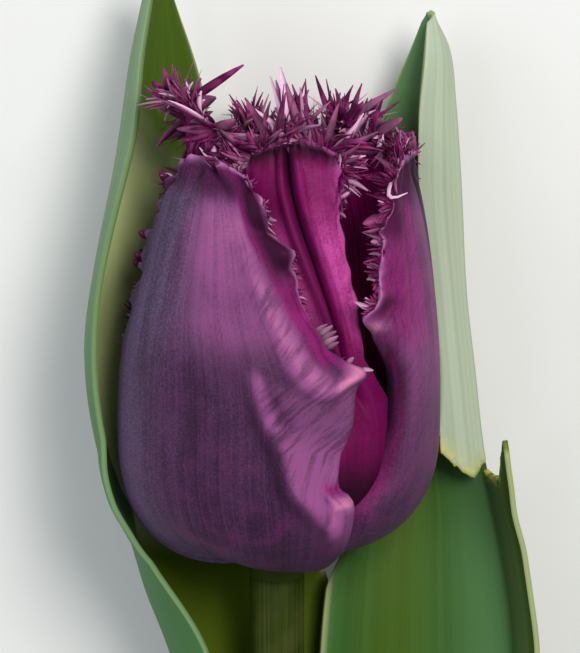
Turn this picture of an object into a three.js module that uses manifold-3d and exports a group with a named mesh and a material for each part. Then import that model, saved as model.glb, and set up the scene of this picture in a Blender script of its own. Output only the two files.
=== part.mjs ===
// A fringed tulip, picked with its two leaves and laid on its back. Millimetres, +Z up.
//
// The flower is drawn upright, as it grew: z runs up its axis from the seat of the petals, -y is the
// side that faces up once it lies down, and azimuth 0 is that side, with +x at azimuth 90.
// The last lines of the file turn the whole flower onto its back, with the table at z = 0.
import * as THREE from "three";
import { mergeVertices } from "three/addons/utils/BufferGeometryUtils.js";
import Module from "manifold-3d";

const wasm = await Module();
wasm.setup();

// Driving dimensions
const CUP_RADIUS = 23.3; // middle of the outer petals, at the widest
const CUP_SEAT_RADIUS = 5.85; // where the petals start, round the seat
const CUP_SEAT_HEIGHT = -1.6;
const CUP_WAIST_HEIGHT = 19; // the widest point
const CUP_SQUARENESS = 0.8; // 1 is a round bowl, less is a squarer one
const CUP_LEAN = 2; // the cup leans this far to +x ...
const CUP_LEAN_HEIGHT = 55; // ... at this height
const WHORL_INSET = 1.6; // from the outer petals to the inner ones
const FOOT_LIFT = 2.6; // the petals start this far up the seat, apart from the front outer one
const PETAL_THICKNESS = 0.8;
const TIP_ARCH = 0.035; // how far the corners of a tip drop, as a share of the petal's height
const LEAF_THICKNESS = 1;
const STEM_RADIUS = 4;
const TABLE_DEPTH = 24; // from the flower's axis to the table it lies on
const CUT_END_HEIGHT = -160;
const CLEARANCE = 0.35; // between neighbours that touch

// Resolution
const BOWL_SHARE = 0.3; // of a petal's rows lie in the bowl below the waist
const PETAL_COLUMNS = 10;
const PETAL_ROWS = 13;
const LEAF_COLUMNS = 8;
const LEAF_ROWS = 24;

const UP = new THREE.Vector3(0, 0, 1);
const degrees = THREE.MathUtils.degToRad;
const smoothstep = THREE.MathUtils.smoothstep;

// ---------------------------------------------------------------- helpers

// A smooth value through knots [where, value], level beyond the first and the last.
function along(knots, x) {
  const last = knots.length - 1;
  if (x <= knots[0][0]) return knots[0][1];
  if (x >= knots[last][0]) return knots[last][1];
  let i = 0;
  while (x > knots[i + 1][0]) i++;
  const slope = (k) => {
    const before = knots[Math.max(k - 1, 0)];
    const after = knots[Math.min(k + 1, last)];
    return (after[1] - before[1]) / (after[0] - before[0]);
  };
  const width = knots[i + 1][0] - knots[i][0];
  const t = (x - knots[i][0]) / width;
  const start = knots[i][1] * (1 + 2 * t) + width * slope(i) * t;
  const end = knots[i + 1][1] * (3 - 2 * t) + width * slope(i + 1) * (t - 1);
  return start * (1 - t) ** 2 + end * t ** 2;
}

// Random numbers from 0 to 1 that come out the same in every run.
function seededRandom(seed) {
  let state = seed;
  return () => {
    state = (state * 1664525 + 1013904223) % 4294967296;
    return state / 4294967296;
  };
}

function toSolid(geometry) {
  const bare = geometry.clone();
  bare.deleteAttribute("normal");
  bare.deleteAttribute("uv");
  const merged = mergeVertices(bare, 1e-4);
  return new wasm.Manifold(
    new wasm.Mesh({
      numProp: 3,
      vertProperties: merged.attributes.position.array,
      triVerts: new Uint32Array(merged.index.array),
    }),
  );
}

// Without the slivers that a cut or a join can leave.
function largestBody(solid) {
  return solid.decompose().sort((a, b) => b.volume() - a.volume())[0];
}

function toMesh(solid, name, material) {
  const { vertProperties, triVerts } = solid.getMesh();
  const geometry = new THREE.BufferGeometry();
  geometry.setAttribute("position", new THREE.BufferAttribute(vertProperties, 3));
  geometry.setIndex(new THREE.BufferAttribute(triVerts, 1));
  geometry.computeVertexNormals();
  const mesh = new THREE.Mesh(geometry, material);
  mesh.name = name;
  return mesh;
}

// A sheet of columns x rows cells through point(i, j), thickened to both sides and closed round its
// rim. Both faces are split along the same diagonals. A cell that isCut names is left out.
function bladeSolid(columns, rows, point, thickness, isCut = () => false) {
  const at = (i, j) => j * (columns + 1) + i;
  const middle = [];
  for (let j = 0; j <= rows; j++) for (let i = 0; i <= columns; i++) middle.push(...point(i, j));

  const faces = [];
  for (let j = 0; j < rows; j++) {
    for (let i = 0; i < columns; i++) {
      if (isCut(i, j)) continue;
      faces.push([at(i, j), at(i + 1, j), at(i + 1, j + 1)]);
      faces.push([at(i, j), at(i + 1, j + 1), at(i, j + 1)]);
    }
  }
  const sheet = new THREE.BufferGeometry();
  sheet.setAttribute("position", new THREE.Float32BufferAttribute(middle, 3));
  sheet.setIndex(faces.flat());
  sheet.computeVertexNormals();

  const normals = sheet.attributes.normal.array;
  const skin = (side) => middle.map((x, k) => x + (side * normals[k] * thickness) / 2);
  const count = middle.length / 3;
  const edges = new Set(
    faces.flatMap(([a, b, c]) => [a + "," + b, b + "," + c, c + "," + a]),
  );
  const rim = [...edges]
    .map((edge) => edge.split(",").map(Number))
    .filter(([a, b]) => !edges.has(b + "," + a))
    .flatMap(([a, b]) => [b, a, a + count, b, a + count, b + count]);
  const back = faces.flatMap(([a, b, c]) => [a + count, c + count, b + count]);

  const closed = new THREE.BufferGeometry();
  closed.setAttribute(
    "position",
    new THREE.Float32BufferAttribute([...skin(1), ...skin(-1)], 3),
  );
  closed.setIndex([...faces.flat(), ...back, ...rim]);
  return toSolid(closed);
}

// Everything beyond the table is cut away, which leaves a small flat spot where a part touches it.
const beyondTable = toSolid(
  new THREE.BoxGeometry(400, 100, 600).translate(0, TABLE_DEPTH + 50, 0),
);

// ---------------------------------------------------------------- petals

// The cup's side view: radius and height at v, from 0 at the seat to 1 at a petal's tip. Lift is how
// far up the seat the petal's foot is.
function cupProfile(petal, v, lift) {
  if (v < BOWL_SHARE) {
    const turn = ((v / BOWL_SHARE) * Math.PI) / 2;
    const out = Math.sin(turn) ** CUP_SQUARENESS;
    const up = 1 - Math.cos(turn) ** CUP_SQUARENESS;
    return new THREE.Vector2(
      THREE.MathUtils.lerp(CUP_SEAT_RADIUS, CUP_RADIUS + petal.swell, out),
      THREE.MathUtils.lerp(CUP_SEAT_HEIGHT, CUP_WAIST_HEIGHT, up) + lift * (1 - (v / BOWL_SHARE) ** 2),
    );
  }
  const rise = (v - BOWL_SHARE) / (1 - BOWL_SHARE);
  return new THREE.Vector2(
    THREE.MathUtils.lerp(CUP_RADIUS + petal.swell, petal.tipRadius, rise ** 2),
    THREE.MathUtils.lerp(CUP_WAIST_HEIGHT, petal.height, rise),
  );
}

// A point of a petal: u runs from -1 at its left edge to 1 at its right edge, seen from outside.
function petalPoint(petal, u, v) {
  const step = 0.004;
  v -= TIP_ARCH * u * u * v ** 8;
  const lift = along(petal.lift, u);
  const place = cupProfile(petal, v, lift);
  const slope = cupProfile(petal, Math.min(v + step, 1), lift)
    .sub(cupProfile(petal, Math.max(v - step, 0), lift))
    .normalize();
  const inset = along(petal.inset, v);
  const edge = smoothstep(Math.abs(u), petal.rollStart, 1) ** 2;
  const roll = edge * along(u < 0 ? petal.leftRoll : petal.rightRoll, v);
  const radius = place.x - slope.y * (inset + roll);
  const height = place.y + slope.x * (inset + roll);
  const spread = Math.abs(u) * along(u < 0 ? petal.leftSpread : petal.rightSpread, v);
  const azimuth = degrees(along(petal.azimuth, v) + Math.sign(u) * spread);
  const lean = CUP_LEAN * (Math.max(height, 0) / CUP_LEAN_HEIGHT) ** 2;
  return new THREE.Vector3(
    radius * Math.sin(azimuth) + lean,
    -radius * Math.cos(azimuth),
    height,
  );
}

// Half the width of a petal in degrees: full in the bowl, then tapering to a blunt tip.
const BROAD = [[0, 40], [0.1, 50], [0.25, 53], [0.42, 53], [0.56, 46], [0.78, 33], [0.93, 20], [1, 9]];
const NARROW = [[0, 38], [0.15, 45], [0.5, 43], [0.8, 34], [0.94, 24], [1, 11]];
const LEVEL = (value) => [[0, value]];

const PETALS = {
  outer_petal_front: {
    azimuth: [[0, -34], [0.22, -36], [0.43, -37.5], [0.65, -43], [1, -45]],
    height: 59,
    tipRadius: 16,
    leftSpread: [[0, 38], [0.1, 50], [0.25, 53], [0.45, 52], [0.65, 47], [0.88, 44], [0.95, 35], [1, 18]],
    rightSpread: [
      [0, 58], [0.05, 69], [0.1, 66], [0.16, 63], [0.22, 62.5], [0.28, 58], [0.4, 61], [0.46, 71],
      [0.54, 62], [0.59, 58], [0.63, 52], [0.71, 46], [0.79, 42], [0.83, 35], [0.91, 28], [0.97, 21], [1, 12],
    ],
    lift: [[-0.9, 0.1], [-0.7, 1.1], [-0.5, 2], [-0.2, 2.4], [0.05, 1.9], [0.3, 1.1], [0.6, 0.6], [1, 0.3]],
    rightRoll: [[0, -0.9], [0.2, -0.9], [0.28, 0], [0.34, 0], [0.5, 2], [0.8, 1.3], [1, 0.4]],
    inset: [[0.5, 0], [0.6, 0.4], [0.78, 0.5], [0.9, 0], [1, -0.9]],
    fringe: { length: [1.2, 2.4], flare: 0.2, wild: 0.9, start: 0.4 },
  },
  outer_petal_right: {
    azimuth: [[0, 88], [0.7, 88], [1, 73]],
    height: 59,
    tipRadius: 16.7,
    leftSpread: [
      [0, 42], [0.06, 53], [0.1, 55.5], [0.2, 59], [0.27, 48], [0.33, 41], [0.42, 37], [0.5, 40], [0.6, 50],
      [0.64, 55], [0.7, 51], [0.81, 42], [0.88, 30], [1, 10],
    ],
    leftRoll: [[0.22, 0.2], [0.32, 2.8], [0.5, 3], [0.6, 0.4]],
    rightSpread: [[0, 38], [0.1, 46], [0.25, 48], [0.42, 48], [0.56, 44], [0.78, 36], [0.93, 26], [1, 11]],
    fringe: { length: [1.4, 4], flare: 0.1, wild: 1.4, start: 0.5 },
  },
  outer_petal_back: {
    azimuth: [[0, 203]],
    height: 60.5,
    tipRadius: 16.5,
    swell: 0.6,
    fringe: { length: [1.4, 4], flare: 0.1, wild: 1.2, start: 0.5 },
  },
  inner_petal_front: {
    azimuth: [[0, 27], [0.3, 26], [0.5, 24], [0.58, 21], [0.7, 14], [0.84, 5], [1, -3]],
    height: 63,
    tipRadius: 16.5,
    lift: LEVEL(2.8),
    inset: [[0, WHORL_INSET], [0.2, 2.6], [0.3, 4.2], [0.42, 4.8], [0.75, 4.6], [1, 3]],
    leftSpread: [[0, 36], [0.2, 38], [0.5, 36], [0.8, 30], [0.95, 24], [1, 14]],
    rightSpread: [
      [0, 20], [0.2, 18], [0.25, 26], [0.3, 31], [0.375, 32], [0.43, 20], [0.5, 15.5], [0.65, 18],
      [0.84, 22], [0.97, 25], [1, 17],
    ],
    fringe: {
      length: [3, 8],
      flare: 0.5,
      wild: 1.5,
      start: 0.87,
      locks: [[-0.2, -3, -0.5, 6.5], [0, -1.9, -0.3, 8], [0.15, -1.2, -0.5, 9.8], [0.25, 1.5, -0.3, 7.5]],
    },
  },
  inner_petal_left: {
    azimuth: [[0, 268], [0.6, 270], [0.8, 280], [1, 290]],
    height: 65,
    tipRadius: 14.4,
    lift: LEVEL(2.9),
    inset: [[0, WHORL_INSET], [0.3, 1.9], [0.5, 2.4], [0.84, 2.7], [0.94, 0.8], [1, -3]],
    rightSpread: [[0, 38], [0.15, 45], [0.5, 40], [0.8, 36], [0.94, 34], [1, 20]],
    leftSpread: [[0, 38], [0.15, 45], [0.5, 43], [0.8, 38], [0.94, 34], [1, 20]],
    fringe: {
      length: [3, 8],
      flare: 0.2,
      wild: 2,
      sweep: -0.5,
      start: 0.8,
      locks: [
        [0, 8.3, -1, 6.9], [0.26, -5.4, -1.5, 4.5], [-0.26, -4.5, -0.5, 3.2], [-0.32, -5, -1, -1.5],
        [0.2, -6.5, -2, 2.5], [0.36, 6, -1.5, -0.3],
      ],
    },
  },
  inner_petal_back: {
    azimuth: [[0, 148], [1, 141]],
    height: 63,
    tipRadius: 15.5,
    fringe: {
      length: [2, 6.5],
      flare: 0.2,
      wild: 1.6,
      sweep: 0.7,
      start: 0.66,
      locks: [[-0.25, 4, -1, 2.5], [-0.1, 5.5, -2, 0.3], [0.1, 6.5, -2, 1], [0.32, 7, -1.5, 1.5]],
    },
  },
};
for (const [name, petal] of Object.entries(PETALS)) {
  const isInner = name.startsWith("inner");
  petal.swell ??= 0;
  petal.lift ??= LEVEL(FOOT_LIFT);
  petal.inset ??= LEVEL(isInner ? WHORL_INSET : 0);
  petal.rollStart ??= 0.6;
  petal.leftRoll ??= LEVEL(0);
  petal.rightRoll ??= LEVEL(0);
  petal.leftSpread ??= isInner ? NARROW : BROAD;
  petal.rightSpread ??= isInner ? NARROW : BROAD;
}

function petalBlade(petal) {
  const point = (i, j) =>
    petalPoint(petal, (2 * i) / PETAL_COLUMNS - 1, j / PETAL_ROWS);
  return bladeSolid(PETAL_COLUMNS, PETAL_ROWS, point, PETAL_THICKNESS);
}

// ---------------------------------------------------------------- fringe

const NEEDLES_PER_PETAL = 38;
const NEEDLE_WIDTH = 1.5; // at its foot
const LOCK_WIDTH = 2.4;
const NEEDLE_DEPTH = 0.9;
const NEEDLE_ROOT = 1.3; // sunk into the petal
const TIP_SHARE = 0.3; // of the needles stand across the tip
const NEEDLE_TRIES = 12; // other directions, before a needle with no room is left out

// The petal's edge, as one line: m runs from -1 at the start of the fringe, up the left edge to the
// tip at 0 and down the right edge to 1.
// Inset is how far in from the edge, from 0 to 1.
function petalEdge(petal, m, inset = 0) {
  const side = Math.abs(m);
  if (side < TIP_SHARE) return petalPoint(petal, m / TIP_SHARE, 1 - 0.3 * inset);
  const down = (side - TIP_SHARE) / (1 - TIP_SHARE);
  const v = 1 - down * (1 - petal.fringe.start);
  return petalPoint(petal, Math.sign(m) * (1 - inset), v);
}

// A flat three-sided needle, broad along the petal's edge.
function needleSolid(edge, direction, length, width) {
  const cone = new THREE.ConeGeometry(1, length + NEEDLE_ROOT, 3);
  cone.scale(width / Math.sqrt(3), 1, NEEDLE_DEPTH / 1.5);
  cone.translate(0, (length + NEEDLE_ROOT) / 2 - NEEDLE_ROOT, 0);
  const flat = new THREE.Vector3().crossVectors(edge.run, direction).normalize();
  const across = new THREE.Vector3().crossVectors(direction, flat);
  cone.applyMatrix4(new THREE.Matrix4().makeBasis(across, direction, flat));
  return toSolid(cone.translate(edge.root.x, edge.root.y, edge.root.z));
}

// Where a needle stands at m, with the directions along, out of and through the petal's edge.
function edgeFrame(petal, m) {
  const root = petalEdge(petal, m);
  const run = petalEdge(petal, Math.min(m + 0.02, 1))
    .sub(petalEdge(petal, Math.max(m - 0.02, -1)))
    .normalize();
  const outward = root.clone().sub(petalEdge(petal, m, 0.12)).normalize();
  const outside = new THREE.Vector3().crossVectors(outward, run).normalize();
  root.addScaledVector(outward, -0.15);
  return { root, run, outward, outside };
}

// The fringe of one petal: its named locks, then needles that point out of its edge, each turned
// until it is clear of the neighbours.
function fringe(petal, neighbours, random) {
  const isClear = (needle) =>
    neighbours.every((other) => needle.minGap(other, 1) > CLEARANCE);
  const needles = [];
  for (const [m, ...reach] of petal.fringe.locks ?? []) {
    const lock = new THREE.Vector3(...reach);
    const edge = edgeFrame(petal, m);
    for (const share of [1, 0.8, 0.6]) {
      const direction = lock.clone().normalize();
      const needle = needleSolid(edge, direction, lock.length() * share, LOCK_WIDTH);
      if (isClear(needle)) {
        needles.push(needle);
        break;
      }
    }
  }
  for (let k = 0; k < NEEDLES_PER_PETAL; k++) {
    const m = (2 * (k + 0.5)) / NEEDLES_PER_PETAL - 1;
    const edge = edgeFrame(petal, m);
    const [shortest, longest] = petal.fringe.length;
    const reach = shortest + (longest - shortest) * (1 - Math.abs(m)) ** 1.3;
    const sweep = (petal.fringe.sweep ?? 0) * (1 - Math.abs(m));
    for (let attempt = 0; attempt < NEEDLE_TRIES; attempt++) {
      const direction = edge.outward
        .clone()
        .addScaledVector(UP, 0.3)
        .add(new THREE.Vector3(sweep, 0, 0))
        .addScaledVector(edge.outside, petal.fringe.flare + (random() - 0.5) * petal.fringe.wild)
        .addScaledVector(edge.run, (random() - 0.5) * petal.fringe.wild)
        .normalize();
      const length = reach * (0.7 + 0.5 * random());
      const needle = needleSolid(edge, direction, length, NEEDLE_WIDTH);
      if (isClear(needle)) {
        needles.push(needle);
        break;
      }
    }
  }
  return needles;
}

// ---------------------------------------------------------------- stem and seat

const STEM_SIDES = 12;
const STEM_STEPS = 15;
const SEAT_RADIUS = CUP_SEAT_RADIUS - PETAL_THICKNESS / 2 - 0.1;
const SEAT_TOP = 5;

// The stem runs straight down from the flower, then sags to the table at its cut end.
const STEM_LINE = [
  [CUT_END_HEIGHT, TABLE_DEPTH - STEM_RADIUS + 0.1],
  [-125, 14.5],
  [-90, 7.5],
  [-60, 2.6],
  [-30, 0.3],
  [0, 0],
];

function stemSolid() {
  const steps = Array.from({ length: STEM_STEPS + 1 }, (_, k) => k / STEM_STEPS);
  const centres = steps.map((s) => {
    const z = THREE.MathUtils.lerp(CUT_END_HEIGHT, 0, s);
    return new THREE.Vector3(0, along(STEM_LINE, z), z);
  });
  const round = new THREE.Shape().absarc(0, 0, STEM_RADIUS, 0, 2 * Math.PI);
  const stalk = new THREE.ExtrudeGeometry(round, {
    steps: STEM_STEPS,
    curveSegments: STEM_SIDES / 2,
    extrudePath: new THREE.CatmullRomCurve3(centres),
    bevelEnabled: false,
  });
  const seat = new THREE.LatheGeometry(
    [
      [0, -9],
      [STEM_RADIUS - 0.3, -9],
      [STEM_RADIUS, -4],
      [SEAT_RADIUS, CUP_SEAT_HEIGHT - 0.4],
      [SEAT_RADIUS, SEAT_TOP - 1.7],
      [4.9, SEAT_TOP - 0.6],
      [4.5, SEAT_TOP],
      [0, SEAT_TOP],
    ].map(([r, z]) => new THREE.Vector2(r, z)),
    24,
  ).rotateX(Math.PI / 2);
  return toSolid(stalk).add(toSolid(seat));
}

// ---------------------------------------------------------------- pistil and stamens

const PISTIL_FOOT = SEAT_TOP + 0.3;
const OVARY_TOP = 20;
const LOBE_REACH = 3.2;
const STAMEN_COUNT = 6;

// A three-sided ovary under a stigma of three spreading lobes.
function pistilSolid() {
  const ovary = new THREE.LatheGeometry(
    [
      [0, PISTIL_FOOT],
      [2, PISTIL_FOOT],
      [2.7, 8],
      [2.9, 14],
      [2.2, OVARY_TOP],
      [0, OVARY_TOP],
    ].map(([r, z]) => new THREE.Vector2(r, z)),
    12,
  ).rotateX(Math.PI / 2);
  const position = ovary.attributes.position;
  for (let k = 0; k < position.count; k++) {
    const swell = 1 + 0.13 * Math.cos(3 * Math.atan2(position.getY(k), position.getX(k)));
    position.setX(k, position.getX(k) * swell);
    position.setY(k, position.getY(k) * swell);
  }
  const lobes = [0, 1, 2].map((k) =>
    toSolid(
      new THREE.SphereGeometry(1, 8, 6)
        .scale(2.3, 1.2, 1.5)
        .rotateY(-0.35)
        .translate(LOBE_REACH - 1, 0, OVARY_TOP + 1)
        .rotateZ((k * 2 * Math.PI) / 3),
    ),
  );
  return wasm.Manifold.union([toSolid(ovary), ...lobes]);
}

// A filament that leans out from the seat, with an upright anther on its tip.
function stamenSolid(azimuth) {
  const foot = new THREE.Vector3(3.6, 0, PISTIL_FOOT);
  const top = new THREE.Vector3(6.4, 0, 14.5);
  const filament = new THREE.CylinderGeometry(0.5, 0.75, foot.distanceTo(top), 6)
    .applyQuaternion(
      new THREE.Quaternion().setFromUnitVectors(
        new THREE.Vector3(0, 1, 0),
        top.clone().sub(foot).normalize(),
      ),
    )
    .translate((foot.x + top.x) / 2, 0, (foot.z + top.z) / 2 + 0.25);
  const anther = new THREE.SphereGeometry(1, 6, 8)
    .rotateX(Math.PI / 2)
    .scale(1, 1.4, 6)
    .rotateY(0.08)
    .translate(top.x + 0.5, 0, top.z + 5);
  return toSolid(filament)
    .add(toSolid(anther))
    .rotate([0, 0, azimuth - 90]);
}

// ---------------------------------------------------------------- leaves

// A leaf is a trough between three lines that run up it: its near edge, its keel and its far edge.
// Each line is given as x and y at heights z, and each half bows out from the straight by its bow.
const LEFT_LEAF = {
  base: -70,
  tip: 84,
  keel: {
    x: [[-70, -4.9], [-55, -5.8], [-35, -9.8], [-15, -16.5], [-8, -19.2], [-2, -20.8], [5, -22], [12, -25], [28, -27.4], [42, -25.5], [55, -23.2], [70, -20.9], [80, -18.4], [84, -17.2]],
    y: [[-70, 4], [-55, 2.4], [-35, 3.5], [-15, 5], [12, 6], [42, 6], [70, 8.5], [84, 11]],
  },
  near: {
    x: [[-70, -2.6], [-55, -3.4], [-35, -5.4], [-15, -10], [0, -18.7], [9, -22.8], [19, -25.4], [28, -26.2], [36, -25.9], [44, -24.5], [60, -20.6], [72, -19.3], [80, -18.2], [84, -17.6]],
    y: [[-70, -1.2], [-55, -3.6], [-35, -4.6], [-15, -5.4], [9, -6.5], [28, -5], [44, -3.5], [60, -1], [72, 4], [84, 10.2]],
  },
  far: {
    x: [[-70, -0.4], [-55, -0.5], [-35, 2.5], [-15, 8.5], [-2, 5], [12, -5], [28, -8.5], [42, -8.5], [55, -9.5], [68, -11.8], [78, -14.8], [84, -16.8]],
    y: [[-70, 9.2], [-55, 7.4], [-35, 8.5], [-15, 11.5], [-2, 15.5], [12, 22], [28, 23.7], [42, 22.8], [55, 20.5], [68, 17.2], [84, 12]],
  },
  nearBow: LEVEL(0.8),
  farBow: [[-70, 1.6], [-15, 2], [10, 2.4], [40, 2], [84, 0]],
};
const RIGHT_LEAF = {
  base: -86,
  tip: 80,
  keel: {
    x: [[-86, 4.9], [-72, 8], [-55, 22], [-40, 31], [-25, 35.5], [-15, 35.6], [-2, 33.6], [11, 30.8], [24, 29.2], [36, 27.8], [52, 26.9], [64, 26], [74, 24.4], [80, 22.8]],
    y: [[-86, 7], [-72, 6.5], [-50, 10], [-25, 12], [10, 13], [50, 13], [80, 13]],
  },
  near: {
    x: [[11, 24.4], [24, 23.2], [36, 22.4], [50, 20.9], [62, 20.9], [70, 21.6], [77, 22.6], [80, 22.9]],
    y: [[11, 9.4], [24, 9.6], [36, 10.8], [50, 11.5], [62, 10], [72, 9.5], [80, 12.2]],
  },
  flap: {
    x: [[-86, 3.2], [-72, 7], [-55, 22.6], [-40, 32.6], [-25, 37.8], [-15, 38.4], [-2, 36.6], [4, 34.8], [12, 32.9]],
    y: [[-86, 1.6], [-72, -0.5], [-50, 0], [-25, 1], [12, 3.5]],
  },
  far: {
    x: [[-86, 1.2], [-72, 1.6], [-55, 3.5], [-35, 5.2], [-15, 6.6], [-6, 7.6], [2, 9], [12, 8.6], [25, 9], [40, 10], [55, 13.4], [66, 16.8], [73, 19.4], [80, 22.2]],
    y: [[-86, 11.9], [-72, 9.6], [-55, 6], [-15, 6], [-6, 9], [2, 15], [12, 21.4], [25, 23.6], [40, 22.8], [55, 19.6], [80, 13.8]],
  },
  nearBow: LEVEL(0.6),
  flapBow: LEVEL(0.5),
  farBow: [[-86, 1.6], [-30, 3], [5, 2.6], [40, 2], [80, 0]],
  tear: {
    height: 8.6,
    row: 14,
    // heights of the two torn ends, by how far they are from the keel
    flapEnd: [[0, 8.6], [0.3, 8.3], [0.65, 10.3], [0.88, 12.8], [1, 14.6]],
    foldEnd: [[0, 9.4], [0.25, 8.5], [0.45, 7.1], [0.6, 8], [0.8, 9.9], [1, 11.3]],
  },
};

// How near a leaf's middle may come to the cup's axis, at height z.
const LEAF_CUP = [[-14, 0], [-9, 9], [-4, 16], [0, 20], [4, 22.4], [8, 24.4], [14, 25.8], [28, 25.8], [40, 24], [50, 21], [60, 16]];

function lineAt(line, z) {
  return new THREE.Vector3(along(line.x, z), along(line.y, z), z);
}

// A point of a leaf: u runs from -1 at the near edge over 0 at the keel to 1 at the far edge.
function leafPoint(leaf, u, z, edge, bow) {
  const keel = lineAt(leaf.keel, z);
  const half = lineAt(edge, z).sub(keel);
  const outward = new THREE.Vector3(-half.y, half.x, 0).normalize();
  const stem = new THREE.Vector3(0, along(STEM_LINE, z), z);
  if (outward.dot(keel.clone().sub(stem)) < 0) outward.negate();
  const share = Math.abs(u);
  const point = keel
    .clone()
    .addScaledVector(half, share)
    .addScaledVector(outward, along(bow, z) * 4 * share * (1 - share));

  // A leaf that leans on the flower is pressed out to the cup's own curve.
  const lean = CUP_LEAN * (Math.max(z, 0) / CUP_LEAN_HEIGHT) ** 2;
  const room = along(LEAF_CUP, z) / Math.hypot(point.x - lean, point.y);
  if (room > 1) {
    point.x = lean + (point.x - lean) * room;
    point.y *= room;
  }
  return point;
}

function leafSolid(leaf) {
  const { tear } = leaf;
  const rowHeight = (j) => {
    if (!tear) return THREE.MathUtils.lerp(leaf.base, leaf.tip, j / LEAF_ROWS);
    if (j < tear.row) {
      return THREE.MathUtils.lerp(leaf.base, tear.height, j / (tear.row - 1));
    }
    return THREE.MathUtils.lerp(
      tear.foldEnd[0][1],
      leaf.tip,
      (j - tear.row) / (LEAF_ROWS - tear.row),
    );
  };
  const point = (i, j) => {
    const u = (2 * i) / LEAF_COLUMNS - 1;
    let z = rowHeight(j);
    if (u >= 0) return leafPoint(leaf, u, z, leaf.far, leaf.farBow);
    if (!tear || j > tear.row) return leafPoint(leaf, u, z, leaf.near, leaf.nearBow);
    if (j === tear.row) {
      z = along(tear.foldEnd, -u);
      return leafPoint(leaf, u, z, leaf.near, leaf.nearBow);
    }
    if (j === tear.row - 1) z = along(tear.flapEnd, -u);
    return leafPoint(leaf, u, z, leaf.flap, leaf.flapBow);
  };
  const isTorn = (i, j) => tear && j === tear.row - 1 && i < LEAF_COLUMNS / 2;
  return bladeSolid(LEAF_COLUMNS, LEAF_ROWS, point, LEAF_THICKNESS, isTorn);
}

// ---------------------------------------------------------------- assembly

const finish = (color, roughness) =>
  new THREE.MeshStandardMaterial({ color, roughness, metalness: 0 });
const petalOutside = finish(0x5e3f5e, 0.6);
const petalInside = finish(0x8a1f68, 0.55);
const leafGreen = finish(0x5c8450, 0.5);
const stemGreen = finish(0x54622c, 0.5);
const pistilGreen = finish(0xb9c27a, 0.5);
const stamenBlack = finish(0x241026, 0.8);

const solids = {
  stem: [stemSolid(), stemGreen],
  leaf_left: [leafSolid(LEFT_LEAF), leafGreen],
  leaf_right: [leafSolid(RIGHT_LEAF), leafGreen],
  pistil: [pistilSolid(), pistilGreen],
};
for (let k = 0; k < STAMEN_COUNT; k++) {
  solids[`stamen_${k + 1}`] = [stamenSolid(28 + (k * 360) / STAMEN_COUNT), stamenBlack];
}
for (const [name, petal] of Object.entries(PETALS)) {
  solids[name] = [petalBlade(petal), name.startsWith("inner") ? petalInside : petalOutside];
}
const random = seededRandom(7);
for (const [name, petal] of Object.entries(PETALS)) {
  const neighbours = Object.keys(solids)
    .filter((other) => other !== name)
    .map((other) => solids[other][0]);
  const needles = fringe(petal, neighbours, random);
  solids[name][0] = largestBody(wasm.Manifold.union([solids[name][0], ...needles]));
}

const flower = new THREE.Group();
for (const [name, [solid, material]] of Object.entries(solids)) {
  flower.add(toMesh(largestBody(solid.subtract(beyondTable)), name, material));
}
flower.rotation.x = -Math.PI / 2;
flower.updateMatrixWorld(true);

// The origin is on the table, under the middle of the whole flower.
const bounds = new THREE.Box3().setFromObject(flower, true);
const middle = bounds.getCenter(new THREE.Vector3());
flower.position.set(-middle.x, -middle.y, -bounds.min.z);

const tulip = new THREE.Group();
tulip.add(flower);
export default tulip;
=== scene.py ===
# %% [markdown]
# # A fringed tulip, laid on its back
#
# A cut tulip lies on a pale table: a cup of six petals, their edges split into needles, between two
# long folded leaves. The measured solids are loaded first and stay as the frame. Each finer piece
# that follows takes the place of one of them.

# %% Load the frame
import math
import random

import bmesh
import bpy
from mathutils import Matrix, Vector, noise


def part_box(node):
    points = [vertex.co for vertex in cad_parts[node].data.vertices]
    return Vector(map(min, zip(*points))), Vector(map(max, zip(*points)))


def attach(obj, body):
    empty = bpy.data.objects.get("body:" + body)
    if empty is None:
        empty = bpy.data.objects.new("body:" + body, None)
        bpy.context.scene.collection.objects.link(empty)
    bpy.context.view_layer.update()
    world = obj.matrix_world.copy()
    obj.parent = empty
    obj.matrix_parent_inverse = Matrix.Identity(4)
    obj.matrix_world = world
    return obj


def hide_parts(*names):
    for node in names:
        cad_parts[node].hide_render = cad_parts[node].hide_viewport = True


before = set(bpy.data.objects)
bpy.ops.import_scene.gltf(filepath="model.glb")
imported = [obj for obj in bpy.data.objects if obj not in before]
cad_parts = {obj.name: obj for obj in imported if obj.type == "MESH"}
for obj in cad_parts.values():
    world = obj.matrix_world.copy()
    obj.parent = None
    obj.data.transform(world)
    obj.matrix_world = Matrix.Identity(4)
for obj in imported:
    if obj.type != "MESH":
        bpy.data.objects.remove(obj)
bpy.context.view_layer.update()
print("solids:", len(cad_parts))

# %% [markdown]
# ## The flower's own coordinates
#
# A flower is easiest to think of as it grew: z runs up its axis from the seat of the petals, and
# azimuth goes round that axis, 0 facing up once it lies down and 90 to its right. So every piece is
# shaped upright, in millimetres, and one matrix lays it on the table, in metres. That matrix is
# read from the stem's solid, whose flat top is 5 mm above the origin.

# %% The matrix that lays a piece down
MM = 0.001
SEAT_TOP = 5
TABLE_DEPTH = 24  # from the flower's axis to the table
TABLE_GAP = 0.05  # petals, needles and leaves stay this far above the table
stem_low, stem_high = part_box("stem")
seat = Vector(
    (
        (stem_low[0] + stem_high[0]) / 2,
        stem_high[1] - SEAT_TOP * MM,
        TABLE_DEPTH * MM,
    )
)
LAY_DOWN = (
    Matrix.Translation(seat) @ Matrix.Rotation(-math.pi / 2, 4, "X") @ Matrix.Scale(MM, 4)
)
print("seat of the petals:", [round(x, 4) for x in LAY_DOWN.translation])

# %% [markdown]
# ## The camera
#
# It looks down on the flower with the tips away from it, from ten degrees towards the tips, through
# a long lens. A long lens keeps the near petals from swelling, as they would through a short one.

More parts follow.
